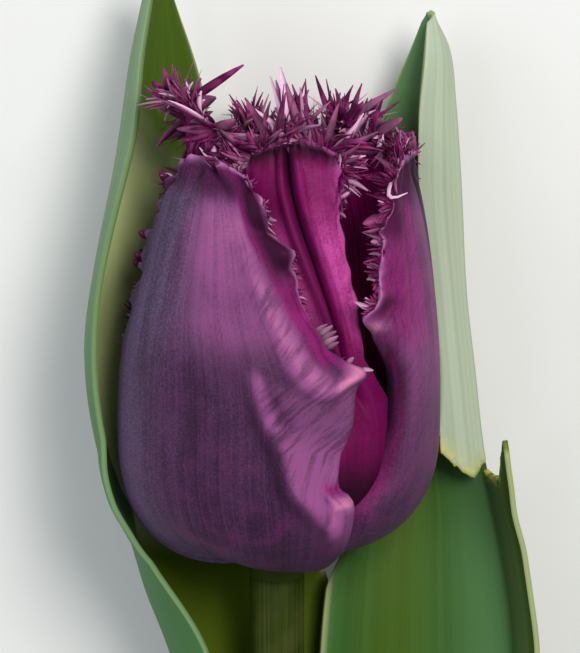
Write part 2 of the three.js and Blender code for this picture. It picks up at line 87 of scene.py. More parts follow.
# %% Camera
CAMERA_TILT = math.radians(10)
CAMERA_DISTANCE = 480
CAMERA_LENS = 182.5
CAMERA_NEAREST = 0.05  # in metres
LOOK_AT = Vector((1.9, 0, 32.9))


def upright_camera():
    back = Vector((0, -math.cos(CAMERA_TILT), math.sin(CAMERA_TILT)))
    up = Vector((0, math.sin(CAMERA_TILT), math.cos(CAMERA_TILT)))
    turn = Matrix((Vector((1, 0, 0)), up, back)).transposed().to_4x4()
    return Matrix.Translation(LOOK_AT + back * CAMERA_DISTANCE) @ turn


camera = bpy.data.objects.new("camera", bpy.data.cameras.new("camera"))
bpy.context.scene.collection.objects.link(camera)
place, turn, _ = (LAY_DOWN @ upright_camera()).decompose()
camera.location = place
camera.rotation_mode = "QUATERNION"
camera.rotation_quaternion = turn
camera.data.lens = CAMERA_LENS
camera.data.clip_start = CAMERA_NEAREST
bpy.context.scene.camera = camera
print("camera height above the table:", round(place.z, 3))

# %% [markdown]
# ## Smooth measures
#
# A petal's width, its tilt and the depth of its fringe all change along its length. Each is written
# as a few knots, and a smooth curve through them gives the value in between. This is lighter than
# shape keys or sculpting, and a single number can be changed later.

# %% Knots and easing


def along(knots, x):
    """The smooth curve through knots (where, value), level beyond the ends."""
    last = len(knots) - 1
    if x <= knots[0][0]:
        return knots[0][1]
    if x >= knots[last][0]:
        return knots[last][1]
    i = next(k for k in range(last) if x <= knots[k + 1][0])

    def slope(k):
        before, after = knots[max(k - 1, 0)], knots[min(k + 1, last)]
        return (after[1] - before[1]) / (after[0] - before[0])

    width = knots[i + 1][0] - knots[i][0]
    t = (x - knots[i][0]) / width
    start = knots[i][1] * (1 + 2 * t) + width * slope(i) * t
    end = knots[i + 1][1] * (3 - 2 * t) + width * slope(i + 1) * (t - 1)
    return start * (1 - t) ** 2 + end * t**2


def ease(low, high, x):
    """0 below low, 1 above high, smooth in between."""
    t = min(max((x - low) / (high - low), 0), 1)
    return t * t * (3 - 2 * t)


def within(low, full, falling, gone, x):
    """Rises from 0 to 1 over the first two places and falls back over the last two."""
    return ease(low, full, x) * (1 - ease(falling, gone, x))


def hump(middle, width, x):
    """1 in the middle, fading away on both sides."""
    return math.exp(-(((x - middle) / width) ** 2))


print("halfway between knots of 0 and 10:", along([(0, 0), (1, 10)], 0.5))

# %% [markdown]
# ## Colours
#
# Paint charts give colours as eight-bit numbers, while shaders work in linear light, so a small
# function converts one into the other.

# %% Colour from a chart


def chart(red, green, blue):
    def linear(c):
        c /= 255
        return c / 12.92 if c < 0.04045 else ((c + 0.055) / 1.055) ** 2.4

    return (linear(red), linear(green), linear(blue), 1)


print("middle grey of a chart in linear light:", round(chart(128, 128, 128)[0], 3))

# %% [markdown]
# ## Material building blocks
#
# Every finish of the flower is streaked along its length, because plant tissue grows in long cells.
# The streaks are noise that is squeezed across the piece and stretched along it. The piece's own UV
# map carries it, with U across and V along, so the streaks follow every curl.

# %% Node helpers
TISSUE_GLOSS = 0.08
TISSUE_SHEEN_ROUGHNESS = 0.45
PETAL_GLOW_REACH = (0.0015, 0.0006, 0.001)  # how far red, green and blue light go in, in metres
SKIN_RELIEF = 0.08  # in mm


class Finish:
    """A new material and short ways to add nodes to it."""

    def __init__(
        self, name, roughness, sheen=0.0, sheen_tint=(1, 1, 1, 1), glow=0.0, reach=PETAL_GLOW_REACH
    ):
        self.material = bpy.data.materials.new(name)
        self.material.use_nodes = True
        self.tree = self.material.node_tree
        self.shader = self.tree.nodes["Principled BSDF"]
        sockets = {
            "Roughness": roughness,
            "Specular IOR Level": TISSUE_GLOSS,
            "Sheen Weight": sheen,
            "Sheen Tint": sheen_tint,
            "Sheen Roughness": TISSUE_SHEEN_ROUGHNESS,
            "Subsurface Weight": glow,
            "Subsurface Radius": reach,
            "Subsurface Scale": 1,
        }
        for socket, value in sockets.items():
            self.shader.inputs[socket].default_value = value
        self.uv = self.add("UVMap", {}, uv_map="UVMap").outputs["UV"]
        self.object = self.add("TexCoord", {}).outputs["Object"]

    def add(self, kind, sockets, **settings):
        """A new node. A socket gets a plain value, or a link from another node's output."""
        node = self.tree.nodes.new("ShaderNode" + kind)
        for name, value in settings.items():
            setattr(node, name, value)
        for socket, value in sockets.items():
            if isinstance(value, bpy.types.NodeSocket):
                self.tree.links.new(value, node.inputs[socket])
            else:
                node.inputs[socket].default_value = value
        return node

    def grain(self, place, scale, detail, roughness=0.5):
        """Noise from 0 to 1."""
        sockets = {"Vector": place, "Scale": scale, "Detail": detail, "Roughness": roughness}
        return self.add("TexNoise", sockets).outputs["Fac"]

    def streaks(self, across, lengthways, detail=5, slant=0.0):
        """Noise from 0 to 1 that runs along the piece, or aslant."""
        sockets = {
            "Vector": self.uv,
            "Location": (0.3, 0.5 - 0.5 / lengthways, 0.37),
            "Scale": (1 / across, 1 / lengthways, 1),
            "Rotation": (0, 0, slant),
        }
        stretch = self.add("Mapping", sockets, vector_type="TEXTURE")
        return self.grain(stretch.outputs["Vector"], 1, detail, roughness=0.6)

    def speckle(self, size_mm, detail=3):
        """Even noise from 0 to 1."""
        return self.grain(self.object, 1 / (size_mm * MM), detail)

    def up(self):
        """The place along the piece, 0 at its foot and 1 at its tip."""
        return self.add("SeparateXYZ", {"Vector": self.uv}).outputs["Y"]

    def attribute(self, name):
        """A number that is painted on the mesh."""
        return self.add("Attribute", {}, attribute_name=name).outputs["Fac"]

    def math(self, operation, first, second):
        return self.add("Math", {0: first, 1: second}, operation=operation).outputs["Value"]

    def times(self, first, second):
        return self.math("MULTIPLY", first, second)

    def blend(self, *shares):
        """The sum of values, each times its share."""
        total = self.times(*shares[0])
        for share in shares[1:]:
            total = self.math("ADD", total, self.times(*share))
        return total

    def between(self, value, low, high):
        """0 below low, 1 above high, smooth in between."""
        sockets = {"Value": value, "From Min": low, "From Max": high}
        return self.add("MapRange", sockets, interpolation_type="SMOOTHSTEP").outputs["Result"]

    def mix(self, factor, first, second):
        """Colour: the first where factor is 0, the second where it is 1."""
        return self.add("Mix", {0: factor, 6: first, 7: second}, data_type="RGBA").outputs[2]

    def painted(self, name, under, colour):
        """The colour where the attribute is 1, and what lies under it where it is 0."""
        return self.mix(self.attribute(name), under, colour)

    def colour(self, value):
        self.tree.links.new(value, self.shader.inputs["Base Color"])

    def relief(self, height, depth_mm=SKIN_RELIEF):
        bump = self.add("Bump", {"Height": height, "Distance": depth_mm * MM, "Strength": 1})
        self.tree.links.new(bump.outputs["Normal"], self.shader.inputs["Normal"])


# %% [markdown]
# ## Outer petals: waxed plum
#
# The outside of the cup is a dull plum under a thin grey wax, like the bloom on a grape. Where the
# petal is thin, folded or lit it is painted mauve, partly its own tint and partly painted light,
# and on a sharp ridge it gets a rose painted highlight. Rolled edges show bare magenta. Six numbers
# are painted on the mesh for this: wax, rosy (with painted highlights), bare (with painted shade in
# the inner petals' midrib), shade (painted shade), rim and facet, where the veins run aslant.

# %% Outside of the outer petals
PLUM = chart(77, 39, 74)
PLUM_DARK = chart(48, 22, 48)
PLUM_MOTTLE = chart(92, 30, 78)
MAUVE = chart(146, 78, 132)
ROSE_HIGHLIGHT = chart(198, 118, 156)
WAX = chart(118, 104, 136)
MAGENTA = chart(150, 30, 114)
MAGENTA_DARK = chart(88, 12, 68)
OUTER_SHADE = chart(34, 8, 30)
OUTER_RIM = chart(176, 112, 166)
SKIN_GRAIN = 0.32  # in mm


def outer_outside_finish():
    f = Finish(
        "outer petal outside", 0.6, sheen=0.03, sheen_tint=(0.85, 0.8, 0.95, 1), glow=0.05
    )
    fine, slanted = f.streaks(90, 2.5), f.streaks(70, 9, slant=-0.9)
    broad, grain, blotches = f.streaks(9, 1.6, detail=3), f.speckle(SKIN_GRAIN), f.speckle(3.5, 4)
    rosy_and_highlight, facet, wax = f.attribute("rosy_and_highlight"), f.attribute("facet"), f.attribute("wax")
    lines = f.blend((fine, f.math("SUBTRACT", 1, facet)), (slanted, facet))
    veins = f.blend((lines, 0.35), (grain, 0.2), (blotches, 0.2), (broad, 0.25))
    plum = f.mix(f.between(veins, 0.4, 0.6), PLUM_DARK, PLUM)
    low = f.times(f.between(blotches, 0.5, 0.64), f.between(f.up(), 0.42, 0.15))
    plum = f.mix(f.times(low, 0.45), plum, PLUM_MOTTLE)
    # Painted light: mauve where the rosy number is low, and a rose painted highlight on ridges, the
    # ear and the knob where it is high.
    mauve = f.times(f.between(rosy_and_highlight, 0, 0.5), f.between(veins, 0.2, 0.6))
    rose_highlight = f.times(f.between(rosy_and_highlight, 0.45, 1), f.between(veins, 0.3, 0.6))
    lit = f.mix(rose_highlight, f.mix(mauve, plum, MAUVE), ROSE_HIGHLIGHT)
    strokes = f.times(f.between(slanted, 0.56, 0.4), facet)
    lit = f.mix(f.times(strokes, 0.45), lit, PLUM_DARK)
    film = f.blend((f.times(wax, f.between(broad, 0.25, 0.65)), 0.45), (wax, 0.35))
    dust = f.math("ADD", f.times(f.between(grain, 0.42, 0.7), 0.6), 0.4)
    waxed = f.mix(f.times(film, dust), lit, WAX)
    raw = f.mix(f.between(veins, 0.35, 0.65), MAGENTA_DARK, MAGENTA)
    shaded = f.painted("shade", f.painted("bare_and_midrib_shade", waxed, raw), OUTER_SHADE)
    f.colour(f.painted("rim", shaded, OUTER_RIM))
    f.relief(f.math("ADD", veins, f.times(broad, 0.6)))
    return f.material


outer_outside = outer_outside_finish()
print("nodes in the outer petals' finish:", len(outer_outside.node_tree.nodes))

# %% [markdown]
# The inside of an outer petal has no wax and is a deeper, glossier purple. Towards its foot every
# petal's inside is painted near black as shade deep in the cup. The inner petals are bright magenta
# outside, with painted light on their lit side and painted shade in their midrib groove, and
# painted near black as shade at their foot, which the tulip keeps in shade.

# %% The other petal faces
INSIDE_FOOT_SHADE = chart(24, 3, 18)
INSIDE_RIM = chart(150, 80, 134)
INNER_DARK = chart(86, 2, 58)
INNER_LIGHT = chart(126, 8, 88)
INNER_DULL = chart(90, 6, 62)
INNER_LIT = chart(192, 74, 154)
INNER_FOOT_SHADE = chart(36, 1, 22)
MIDRIB_GROOVE_SHADE = chart(56, 3, 42)
INNER_SHADE = chart(22, 1, 14)
INNER_RIM = chart(150, 66, 124)


def inside_finish(name, dark, light):
    f = Finish(name, 0.45)
    fine = f.streaks(80, 3)
    body = f.mix(f.between(fine, 0.3, 0.7), dark, light)
    # Painted shade: near black towards the foot, deep in the cup.
    shaded_at_foot = f.mix(f.between(f.up(), 0.25, 0.6), INSIDE_FOOT_SHADE, body)
    f.colour(f.painted("rim", shaded_at_foot, INSIDE_RIM))
    f.relief(fine)
    return f.material


def inner_outside_finish():
    f = Finish("inner petal outside", 0.5, sheen=0.03, sheen_tint=(1, 0.8, 0.95, 1), glow=0.05)
    fine, broad = f.streaks(50, 2), f.streaks(7, 1.2, detail=3)
    veins = f.blend((fine, 0.35), (f.speckle(SKIN_GRAIN), 0.35), (f.speckle(3, 4), 0.3))
    body = f.mix(f.between(veins, 0.3, 0.7), INNER_DARK, INNER_LIGHT)
    dulled = f.mix(f.times(f.between(broad, 0.6, 0.4), 0.5), body, INNER_DULL)
    # Painted light on the lit side, and painted shade at the foot, in the midrib groove and in the
    # cleft at the top.
    lit = f.times(f.attribute("rosy_and_highlight"), f.between(veins, 0.25, 0.6))
    rosy_and_highlight = f.mix(lit, dulled, INNER_LIT)
    shaded_at_foot = f.mix(f.between(f.up(), 0.12, 0.34), INNER_FOOT_SHADE, rosy_and_highlight)
    black = f.painted("shade", f.painted("bare_and_midrib_shade", shaded_at_foot, MIDRIB_GROOVE_SHADE), INNER_SHADE)
    f.colour(f.painted("rim", black, INNER_RIM))
    f.relief(veins)
    return f.material


outer_inside = inside_finish("outer petal inside", chart(84, 8, 60), chart(120, 18, 88))
inner_inside = inside_finish("inner petal inside", chart(124, 4, 84), chart(196, 24, 144))
inner_outside = inner_outside_finish()
print("petal finishes: 4")

# %% [markdown]
# ## Fringe: crystal needles
#
# The needles are flat, painted dark at their foot as shade where they crowd, and magenta along
# them. Some are paler towards the tip, partly as pale tissue and partly as a painted highlight
# where they catch the light. Two numbers ride on the mesh: how far along its needle a point is, and
# how pale it is.

# %% Fringe finish
PALE_NEEDLE_HIGHLIGHT = chart(236, 188, 222)


def fringe_finish():
    f = Finish("fringe", 0.4, glow=0.08)
    tip, pale = f.attribute("tip"), f.attribute("pale")
    # Painted shade: darker at the foot, where the needles crowd.
    foot_shade = f.mix(f.between(f.speckle(1.2), 0.35, 0.65), chart(50, 3, 36), chart(88, 12, 62))
    end = f.mix(f.between(f.speckle(2.5), 0.4, 0.6), chart(78, 12, 58), chart(140, 44, 102))
    body = f.mix(f.between(tip, 0.1, 0.9), foot_shade, end)
    # Painted highlight: pale needles lighten towards their tip.
    f.colour(f.mix(f.times(f.between(tip, -0.2, 0.5), pale), body, PALE_NEEDLE_HIGHLIGHT))
    f.relief(f.speckle(0.35), 0.06)
    return f.material


fringe_material = fringe_finish()
print("fringe finish:", fringe_material.name)

# %% [markdown]
# ## The cup
#
# In side view the cup is a squarish bowl that closes in towards the top. A point of a petal is
# found from u, across it from -1 to 1, and v, up it from 0 to 1: v gives the place on that side
# view, and u turns it round the axis. The five other petals start a little higher up the seat than
# the front one, which hangs over it.

# %% Side view of the cup
CUP_RADIUS = 23.3
CUP_SEAT_RADIUS = 5.85
CUP_SEAT_HEIGHT = -1.6
CUP_WAIST_HEIGHT = 19
CUP_SQUARENESS = 0.8
CUP_LEAN = 2
CUP_LEAN_HEIGHT = 55
BOWL_SHARE = 0.3
WHORL_INSET = 1.6
FOOT_LIFT = 2.6
TIP_ARCH = 0.035


def cup_profile(petal, v, lift):
    """Radius and height."""
    widest = CUP_RADIUS + petal.get("swell", 0)
    if v < BOWL_SHARE:
        turn = max(v, 0) / BOWL_SHARE * math.pi / 2
        out = math.sin(turn) ** CUP_SQUARENESS
        up = 1 - max(math.cos(turn), 0) ** CUP_SQUARENESS
        radius = CUP_SEAT_RADIUS + (widest - CUP_SEAT_RADIUS) * out
        height = CUP_SEAT_HEIGHT + (CUP_WAIST_HEIGHT - CUP_SEAT_HEIGHT) * up
        return Vector((radius, height + lift * (1 - (v / BOWL_SHARE) ** 2)))
    rise = (v - BOWL_SHARE) / (1 - BOWL_SHARE)
    radius = widest + (petal["tip_radius"] - widest) * rise**2
    return Vector((radius, CUP_WAIST_HEIGHT + (petal["height"] - CUP_WAIST_HEIGHT) * rise))


def cup_lean(z):
    """How far the cup leans to its right at a height."""
    return CUP_LEAN * (max(z, 0) / CUP_LEAN_HEIGHT) ** 2


print("lean at the tips:", round(cup_lean(60), 2), "mm")

# %% [markdown]
# An edge can curl on a small radius, inwards or outwards. Its width changes quickly there, while
# the middle of the petal keeps smooth veins, so the width is given twice: for the middle and for
# the edge. Some edges have lobes that stand out (where, half width, size). Near the tips the edge
# is ruffled and finely frilled, which two noises give.

# %% Petal surface
PETAL_THICKNESS = 0.55
CURL_START = [(0, 0.76)]
CURL_LIMIT = 2.6  # the furthest that an edge turns in, in radians
FRILL_DEPTH = 1.6
FRILL_WAVES = (12, 48)  # across and up
FRILL_SPREAD = 0.7  # the share of a frill or lobe that also widens the edge
LOBE_SPREAD = 0.6
RUFFLE_WAVES = (4, 20)
SMALL_STEP = 0.004


def turned(petal, side, share, v):
    """How far round the axis a share of a half petal reaches, in radians."""
    edge = along(petal[side + "_spread"], v)
    middle = along(petal.get(side + "_middle", petal[side + "_spread"]), v)
    return math.radians(share * middle + (edge - middle) * share**4)


def edge_frill(petal, u, v):
    """How far the fine frill moves a point, in mm."""
    start = petal["fringe"]["start"][u > 0]
    side = ease(0.92, 1, abs(u)) * ease(start - 0.05, start + 0.1, v)
    across, up = FRILL_WAVES
    wave = noise.noise(Vector((u * across, v * up, petal["seed"] + 9)))
    return FRILL_DEPTH * max(side, ease(0.965, 1, v)) * wave


def edge_lobes(petal, side, share, v):
    """How far the lobes of an edge stand out, in mm."""
    lobes = petal.get(side + "_lobes", [])
    return sum(size * hump(where, width, v) for where, width, size in lobes) * ease(0.84, 1, share)


def edge_ruffle(petal, u, v):
    """How far the slower ruffle moves a point, in mm."""
    near_edge = max(ease(0.7, 1, abs(u)) * ease(0.35, 0.75, v), ease(0.88, 1, v))
    across, up = RUFFLE_WAVES
    return petal["ruffle"] * near_edge * noise.noise(Vector((u * across, v * up, petal["seed"])))


def petal_point(petal, u, v):
    """The place of a point of a petal, on the middle of its wall."""
    side, share = ("left" if u < 0 else "right"), abs(u)
    v = v - TIP_ARCH * u * u * v**8
    lift = along(petal.get("lift", [(0, FOOT_LIFT)]), u)
    place = cup_profile(petal, v, lift)
    slope = cup_profile(petal, min(v + SMALL_STEP, 1), lift)
    slope -= cup_profile(petal, max(v - SMALL_STEP, 0), lift)
    slope.normalize()

    frill, lobes = edge_frill(petal, u, v), edge_lobes(petal, side, share, v)
    start = min(share, along(petal.get(side + "_curl_start", CURL_START), v))
    azimuth = turned(petal, side, start, v)
    arc = (turned(petal, side, share, v) - azimuth) * place.x
    arc += LOBE_SPREAD * lobes + FRILL_SPREAD * frill * ease(0.92, 1, share)
    tightness = along(petal.get(side + "_curl", [(0, 0)]), v)
    bend = min(arc * abs(tightness), CURL_LIMIT)
    inwards = 0
    if bend > 0.01:
        arc = math.sin(bend) / abs(tightness)
        inwards = (1 - math.cos(bend)) / tightness
    azimuth = math.radians(along(petal["azimuth"], v)) + math.copysign(azimuth + arc / place.x, u)

    outwards = petal["folds"](u, v) + edge_ruffle(petal, u, v) + frill + lobes
    inset = along(petal["inset"], v) + inwards - outwards
    radius, height = place.x - slope.y * inset, place.y + slope.x * inset
    lowest = TABLE_DEPTH - PETAL_THICKNESS / 2 - TABLE_GAP
    across = radius * math.sin(azimuth) + cup_lean(height)
    return Vector((across, min(-radius * math.cos(azimuth), lowest), height))


# %% [markdown]
# ## Folds, bare places, painted light and painted shade
#
# The front outer petal is bent along a ridge on its right, beyond which its edge rolls in. Under
# the ridge a crease runs down to its foot, and the facet right of it turns away. Along the rolled
# edge small lobes stand out, and at the foot the edge ends in a round knob. Each function below
# gives how far the surface stands out there, in mm, and its partner gives five of the painted
# numbers: how waxed the place is, how rosy it is with painted highlights and painted light, how
# bare it is with painted shade in a midrib groove, how much painted shade it has, and how much of a
# facet.

# %% Folds of the front outer petal
CREASE = [
    (0.17, 0.9), (0.188, 0.86), (0.219, 0.76), (0.25, 0.69), (0.281, 0.63), (0.306, 0.59),
    (0.362, 0.52), (0.431, 0.47), (0.5, 0.44),
]
NICK = [(0.35, 0.66), (0.4, 0.6), (0.431, 0.57), (0.47, 0.54)]
RIDGE = [
    (0.43, 0.86), (0.45, 0.82), (0.487, 0.76), (0.537, 0.72), (0.6, 0.71), (0.67, 0.7),
    (0.74, 0.66), (0.8, 0.6),
]


def ear_height(u):
    """How far up the petal the crest of its ear, the lobe that juts out, lies."""
    return 0.44 + 0.4 * (u - 0.84)


def front_folds(u, v):
    above_ear = v - ear_height(u)
    groove = -0.4 * hump(0, 0.09, u) * within(0.2, 0.35, 0.85, 1, v)
    bend = 0.8 * hump(along(CREASE, v) + 0.02, 0.08, u) * within(0.17, 0.24, 0.46, 0.56, v)
    nick = -0.9 * hump(along(NICK, v), 0.03, u) * within(0.345, 0.365, 0.43, 0.47, v)
    ridge = 1.0 * hump(along(RIDGE, v), 0.1, u) * within(0.42, 0.46, 0.74, 0.84, v)
    hollow = -1.1 * hump(0.93, 0.09, u) * hump(0.065, 0.03, above_ear)
    ear = 1.3 * ease(0.82, 0.92, u) * hump(0, 0.016, above_ear)
    knob = 0.9 * ease(0.82, 0.87, u) * within(0.1, 0.18, 0.24, 0.262, v)
    tuck = -1.7 * ease(0.7, 1, -u) * ease(0.86, 0.95, v)
    return groove + bend + nick + ridge + hollow + ear + knob + tuck


def front_tints(u, v):
    crease, ridge_u, above_ear = along(CREASE, v), along(RIDGE, v), v - ear_height(u)
    ridge = hump(ridge_u, 0.085, u) * within(0.41, 0.46, 0.7, 0.84, v)
    ear = ease(0.84, 0.9, u) * hump(0, 0.018, above_ear)
    facet = ease(crease - 0.01, crease + 0.05, u) * within(0.17, 0.22, 0.44, 0.5, v)
    facet *= 1 - ease(0.82, 0.85, u) * (1 - ease(0.25, 0.26, v))
    tongue = hump(crease + 0.04, 0.04, u) * within(0.34, 0.37, 0.46, 0.54, v)
    upper = ease(-0.4, 0.3, u) * within(0.45, 0.62, 0.86, 0.95, v)
    upper *= 0.33 + 0.27 * ease(0.65, 0.85, v)
    knob_side = hump(0.86, 0.02, u) * within(0.17, 0.22, 0.24, 0.255, v)
    knob_top = ease(0.85, 0.88, u) * hump(0.245, 0.01, v)
    knob = ease(0.86, 0.88, u) * within(0.15, 0.2, 0.24, 0.25, v)
    # Painted highlight on the ridge, the ear, the tongue and the knob, and painted light on the
    # upper part; the facet is partly rosy tissue and partly painted light.
    rosy_and_highlight = max(0.66 * ridge, ear, facet * (0.2 + 0.22 * ease(0.4, 0.25, v)), 0.45 * tongue)
    rosy_and_highlight = max(rosy_and_highlight, upper, 0.85 * knob_side, 0.95 * knob_top, 0.25 * knob)

    rolled = ease(ridge_u + 0.06, ridge_u + 0.13, u) * ease(0.49, 0.53, v) * (1 - ear)
    knob_rim = ease(0.87, 0.9, u) * hump(0.262, 0.008, v)
    bare_and_midrib_shade = max(0.9 * rolled, 0.5 * ease(0.88, 0.98, v), knob_rim)

    # Painted shade under the rolled edge, along the top, at the foot, beside the crease and in the
    # nick.
    under_roll = within(0.62, 0.88, 0.965, 1, u) * ease(0.66, 0.76, v)
    foot_shade = ease(0.3, 0.7, u) * ease(0.24, 0.14, v)
    beside_crease = hump(crease - 0.045, 0.03, u) * within(0.19, 0.24, 0.38, 0.46, v)
    nick = hump(along(NICK, v), 0.015, u) * within(0.35, 0.37, 0.43, 0.46, v)
    shade = max(0.9 * under_roll, 0.6 * hump(0.95, 0.035, v), 0.3 * foot_shade)
    shade = max(shade, 0.6 * beside_crease, 0.5 * nick)

    # The wax is painted thicker on the upper part, as painted light from above.
    wax = hump(-0.75, 0.45, u) * (0.85 + 0.35 * ease(0.45, 0.65, v))
    wax += 0.7 * hump(-0.2, 0.3, u) * ease(0.45, 0.65, v) + 0.1
    return wax * (1 - 0.7 * rosy_and_highlight), rosy_and_highlight, bare_and_midrib_shade, shade, max(facet, ridge)


print("ear of the front petal:", round(ear_height(1), 3), "of the way up")

# %% [markdown]
# The right outer petal rolls its left edge in. A magenta stripe runs down the roll, under a lip
# with a painted highlight, and painted shade darkens the roll, the top and the place over the ear.
# The inner front petal has a deep midrib between two lips, with painted shade in its groove and
# painted light on its right side. The other petals are nearly plain.

# %% Folds of the other petals
STRIPE = [(0.2, -0.93), (0.24, -0.88), (0.306, -0.8), (0.4, -0.82), (0.537, -0.9)]
MIDRIB = [(0.4, 0.4), (0.5, 0.3), (0.62, 0.18), (0.75, 0.05), (0.887, -0.08), (0.97, -0.1)]


def right_folds(u, v):
    dip = -0.5 * hump(-0.62, 0.1, u) * within(0.5, 0.6, 0.9, 1, v)
    return -0.4 * hump(0, 0.09, u) * ease(0.25, 0.4, v) + dip


def right_tints(u, v):
    stripe = hump(along(STRIPE, v), 0.05, u) * within(0.16, 0.22, 0.5, 0.58, v)
    # Painted highlight on the lip, and painted light on the left side.
    lip = hump(0.96, 0.12, -u) * hump(0.6, 0.022, v)
    side = (0.14 + 0.16 * ease(0.3, 0.55, v)) * ease(-0.3, 0.3, -u) * ease(0.1, 0.3, v)
    rosy_and_highlight = max(side * (1 - stripe), lip)
    upper = ease(0.3, 0.75, -u) * ease(0.48, 0.62, v)
    bare_and_midrib_shade = max(0.6 * stripe, 0.8 * upper * (1 - lip))
    # Painted shade in the roll, along the top, over the upper left and over the ear.
    roll = 0.95 * ease(0.66, 0.86, -u) * within(0.22, 0.34, 0.46, 0.54, v)
    shade = max(roll, 0.8 * ease(0.84, 0.93, v), 0.7 * ease(0.4, 0.85, -u) * ease(0.76, 0.84, v))
    shade = max(shade, 0.85 * hump(0.94, 0.12, -u) * hump(0.65, 0.025, v))
    return 0.1, rosy_and_highlight, bare_and_midrib_shade, shade * (1 - 0.7 * stripe), 0.3 * ease(0.3, 0.6, -u)


def midrib_folds(u, v):
    rib = along(MIDRIB, v)
    groove = -1.6 * hump(rib, 0.08, u)
    lips = 0.7 * hump(rib + 0.2, 0.1, u) + 0.5 * hump(rib - 0.18, 0.08, u)
    belly = 1.2 * hump(0.3, 0.5, u) * hump(0.3, 0.1, v)
    return (groove + lips) * within(0.3, 0.5, 0.97, 1, v) + belly


def midrib_tints(u, v):
    rib = along(MIDRIB, v)
    # Painted shade: dark along the midrib groove and in a crease beside it, and black in the
    # groove's core, in the cleft at the top and at the foot.
    dark = hump(rib, 0.09, u) * ease(0.4, 0.55, v)
    dark = max(dark, 0.6 * hump(rib - 0.24, 0.05, u) * ease(0.45, 0.6, v))
    black = hump(rib, 0.045 + 0.12 * ease(0.86, 0.96, v), u) * ease(0.5, 0.7, v)
    black = max(black, ease(0.93, 0.985, v), 0.8 * ease(0.31, 0.235, v))
    # Painted light on the lit right side and on the left flank.
    lit = ease(rib + 0.14, rib + 0.32, u) * ease(0.45, 0.7, v)
    lit *= 0.9 - 0.75 * ease(0.74, 0.88, v) * (1 - ease(0.8, 1, u))
    lit = max(lit, 0.5 * hump(rib - 0.45, 0.15, u) * within(0.5, 0.7, 0.75, 0.85, v))
    return 0, lit, dark, black, 0


def plain_folds(u, v):
    return -0.4 * hump(0, 0.09, u) * ease(0.2, 0.35, v)


def plain_tints(u, v):
    return 0.2, 0.3 * ease(0.5, 1, abs(u)) * ease(0.1, 0.4, v), 0, 0, 0


print("depth of the midrib:", round(-midrib_folds(MIDRIB[3][1], MIDRIB[3][0]), 1), "mm")

# %% [markdown]
# ## Six petals
#
# Three outer petals overlap three inner ones. Azimuths and spreads to either side are in degrees, a
# curl is one over its radius, and every other size is in mm, each at places given by v or u. The
# fringe of each petal starts at a share of its height, left and right, and grows from the shorter
# length at the sides to the longer one at the tip. It has a few long locks: where on the edge they
# stand, where they reach, how they bend, their half width and how pale they are.

# %% An empty table of petals
PETALS = {}

# %% [markdown]
# ### The front outer petal
#
# The largest petal covers the left of the cup. Its right edge is uneven, with small lobes, and
# rolls in under the ear, and its lower corners hang over the seat.

# %% The front outer petal
PETALS["outer_petal_front"] = {
    "azimuth": [(0, -34), (0.22, -36), (0.43, -37.5), (0.65, -43), (1, -45)],
    "height": 59,
    "tip_radius": 16,
    "left_spread": [
        (0, 38), (0.1, 50), (0.25, 53), (0.45, 52), (0.65, 47), (0.88, 43), (0.95, 29), (1, 15),
    ],
    "right_spread": [
        (0, 58), (0.05, 70), (0.1, 69), (0.16, 68), (0.225, 69), (0.243, 67), (0.262, 59),
        (0.285, 57.5), (0.31, 59), (0.37, 62), (0.43, 63.5), (0.46, 65.5), (0.487, 69), (0.51, 66),
        (0.54, 64), (0.59, 61.5), (0.63, 56), (0.71, 50), (0.79, 45), (0.83, 37), (0.91, 29),
        (0.97, 21), (1, 12),
    ],
    "right_middle": [
        (0, 56), (0.1, 62), (0.25, 62), (0.5, 62), (0.65, 54), (0.8, 42), (0.95, 24), (1, 12),
    ],
    "right_curl": [
        (0, 0.4), (0.24, 0.5), (0.28, 0), (0.49, 0), (0.56, 0.2), (0.75, 0.2), (0.9, 0.05),
    ],
    "right_curl_start": [(0.25, 0.9), (0.35, 0.76)],
    "right_lobes": [
        (0.885, 0.035, 1.8), (0.83, 0.012, -1), (0.785, 0.018, 1.9), (0.748, 0.012, -0.6),
        (0.72, 0.014, 1.1), (0.57, 0.02, 0.8),
    ],
    "lift": [
        (-0.9, 0.1), (-0.7, 1.1), (-0.5, 2), (-0.2, 2.4), (0.05, 1.9), (0.3, 1.1), (0.6, 0.6),
        (1, 0.3),
    ],
    "inset": [(0.5, 0), (0.6, 0.4), (0.78, 0.5), (0.9, 0), (1, -0.9)],
    "folds": front_folds,
    "tints": front_tints,
    "ruffle": 2.0,
    "seed": 1,
    "fringe": {
        "length": (0.8, 2.2), "flare": 0.4, "wild": 1.8, "start": (0.5, 0.5), "sweep": (0, 0, 0),
        "pale": 0.35,
        "locks": [
            (-0.38, (-1.3, -0.3, 1.7), (0.3, 0, 0), 0.8, 0),
            (-0.42, (-1, 0.6, 0.8), (0, 0, 0), 0.5, 0),
            (-0.61, (-1.3, 1.2, 0.5), (0, 0, 0), 0.6, 0),
            (-0.63, (-1, 1.2, 0.9), (0, 0, 0), 0.5, 0),
            (-0.69, (-1.5, 1.4, 0.3), (0, 0, 0.3), 0.7, 0),
            (-0.71, (-1.2, 1.4, -0.2), (0, 0, 0.3), 0.6, 0),
            (0.87, (1.4, -0.5, 1.3), (0.3, 0, 0), 0.5, 0.25),
            (0.885, (1.8, -0.6, 1.5), (0.2, 0, 0.2), 0.6, 0.3),
            (0.9, (2, -0.6, 1.5), (0.2, 0, 0), 0.6, 0.2),
            (0.915, (2, -0.6, 1.2), (0.1, 0, 0.2), 0.6, 0.35),
            (0.93, (1.8, -0.5, 1), (0, 0, 0.1), 0.5, 0.2),
            (1, (1.7, -0.4, 0.1), (0, 0, -0.2), 0.4, 0.5),
            (0.98, (1, -0.3, 0.9), (0, 0, 0), 0.4, 0.3),
        ],
    },
}
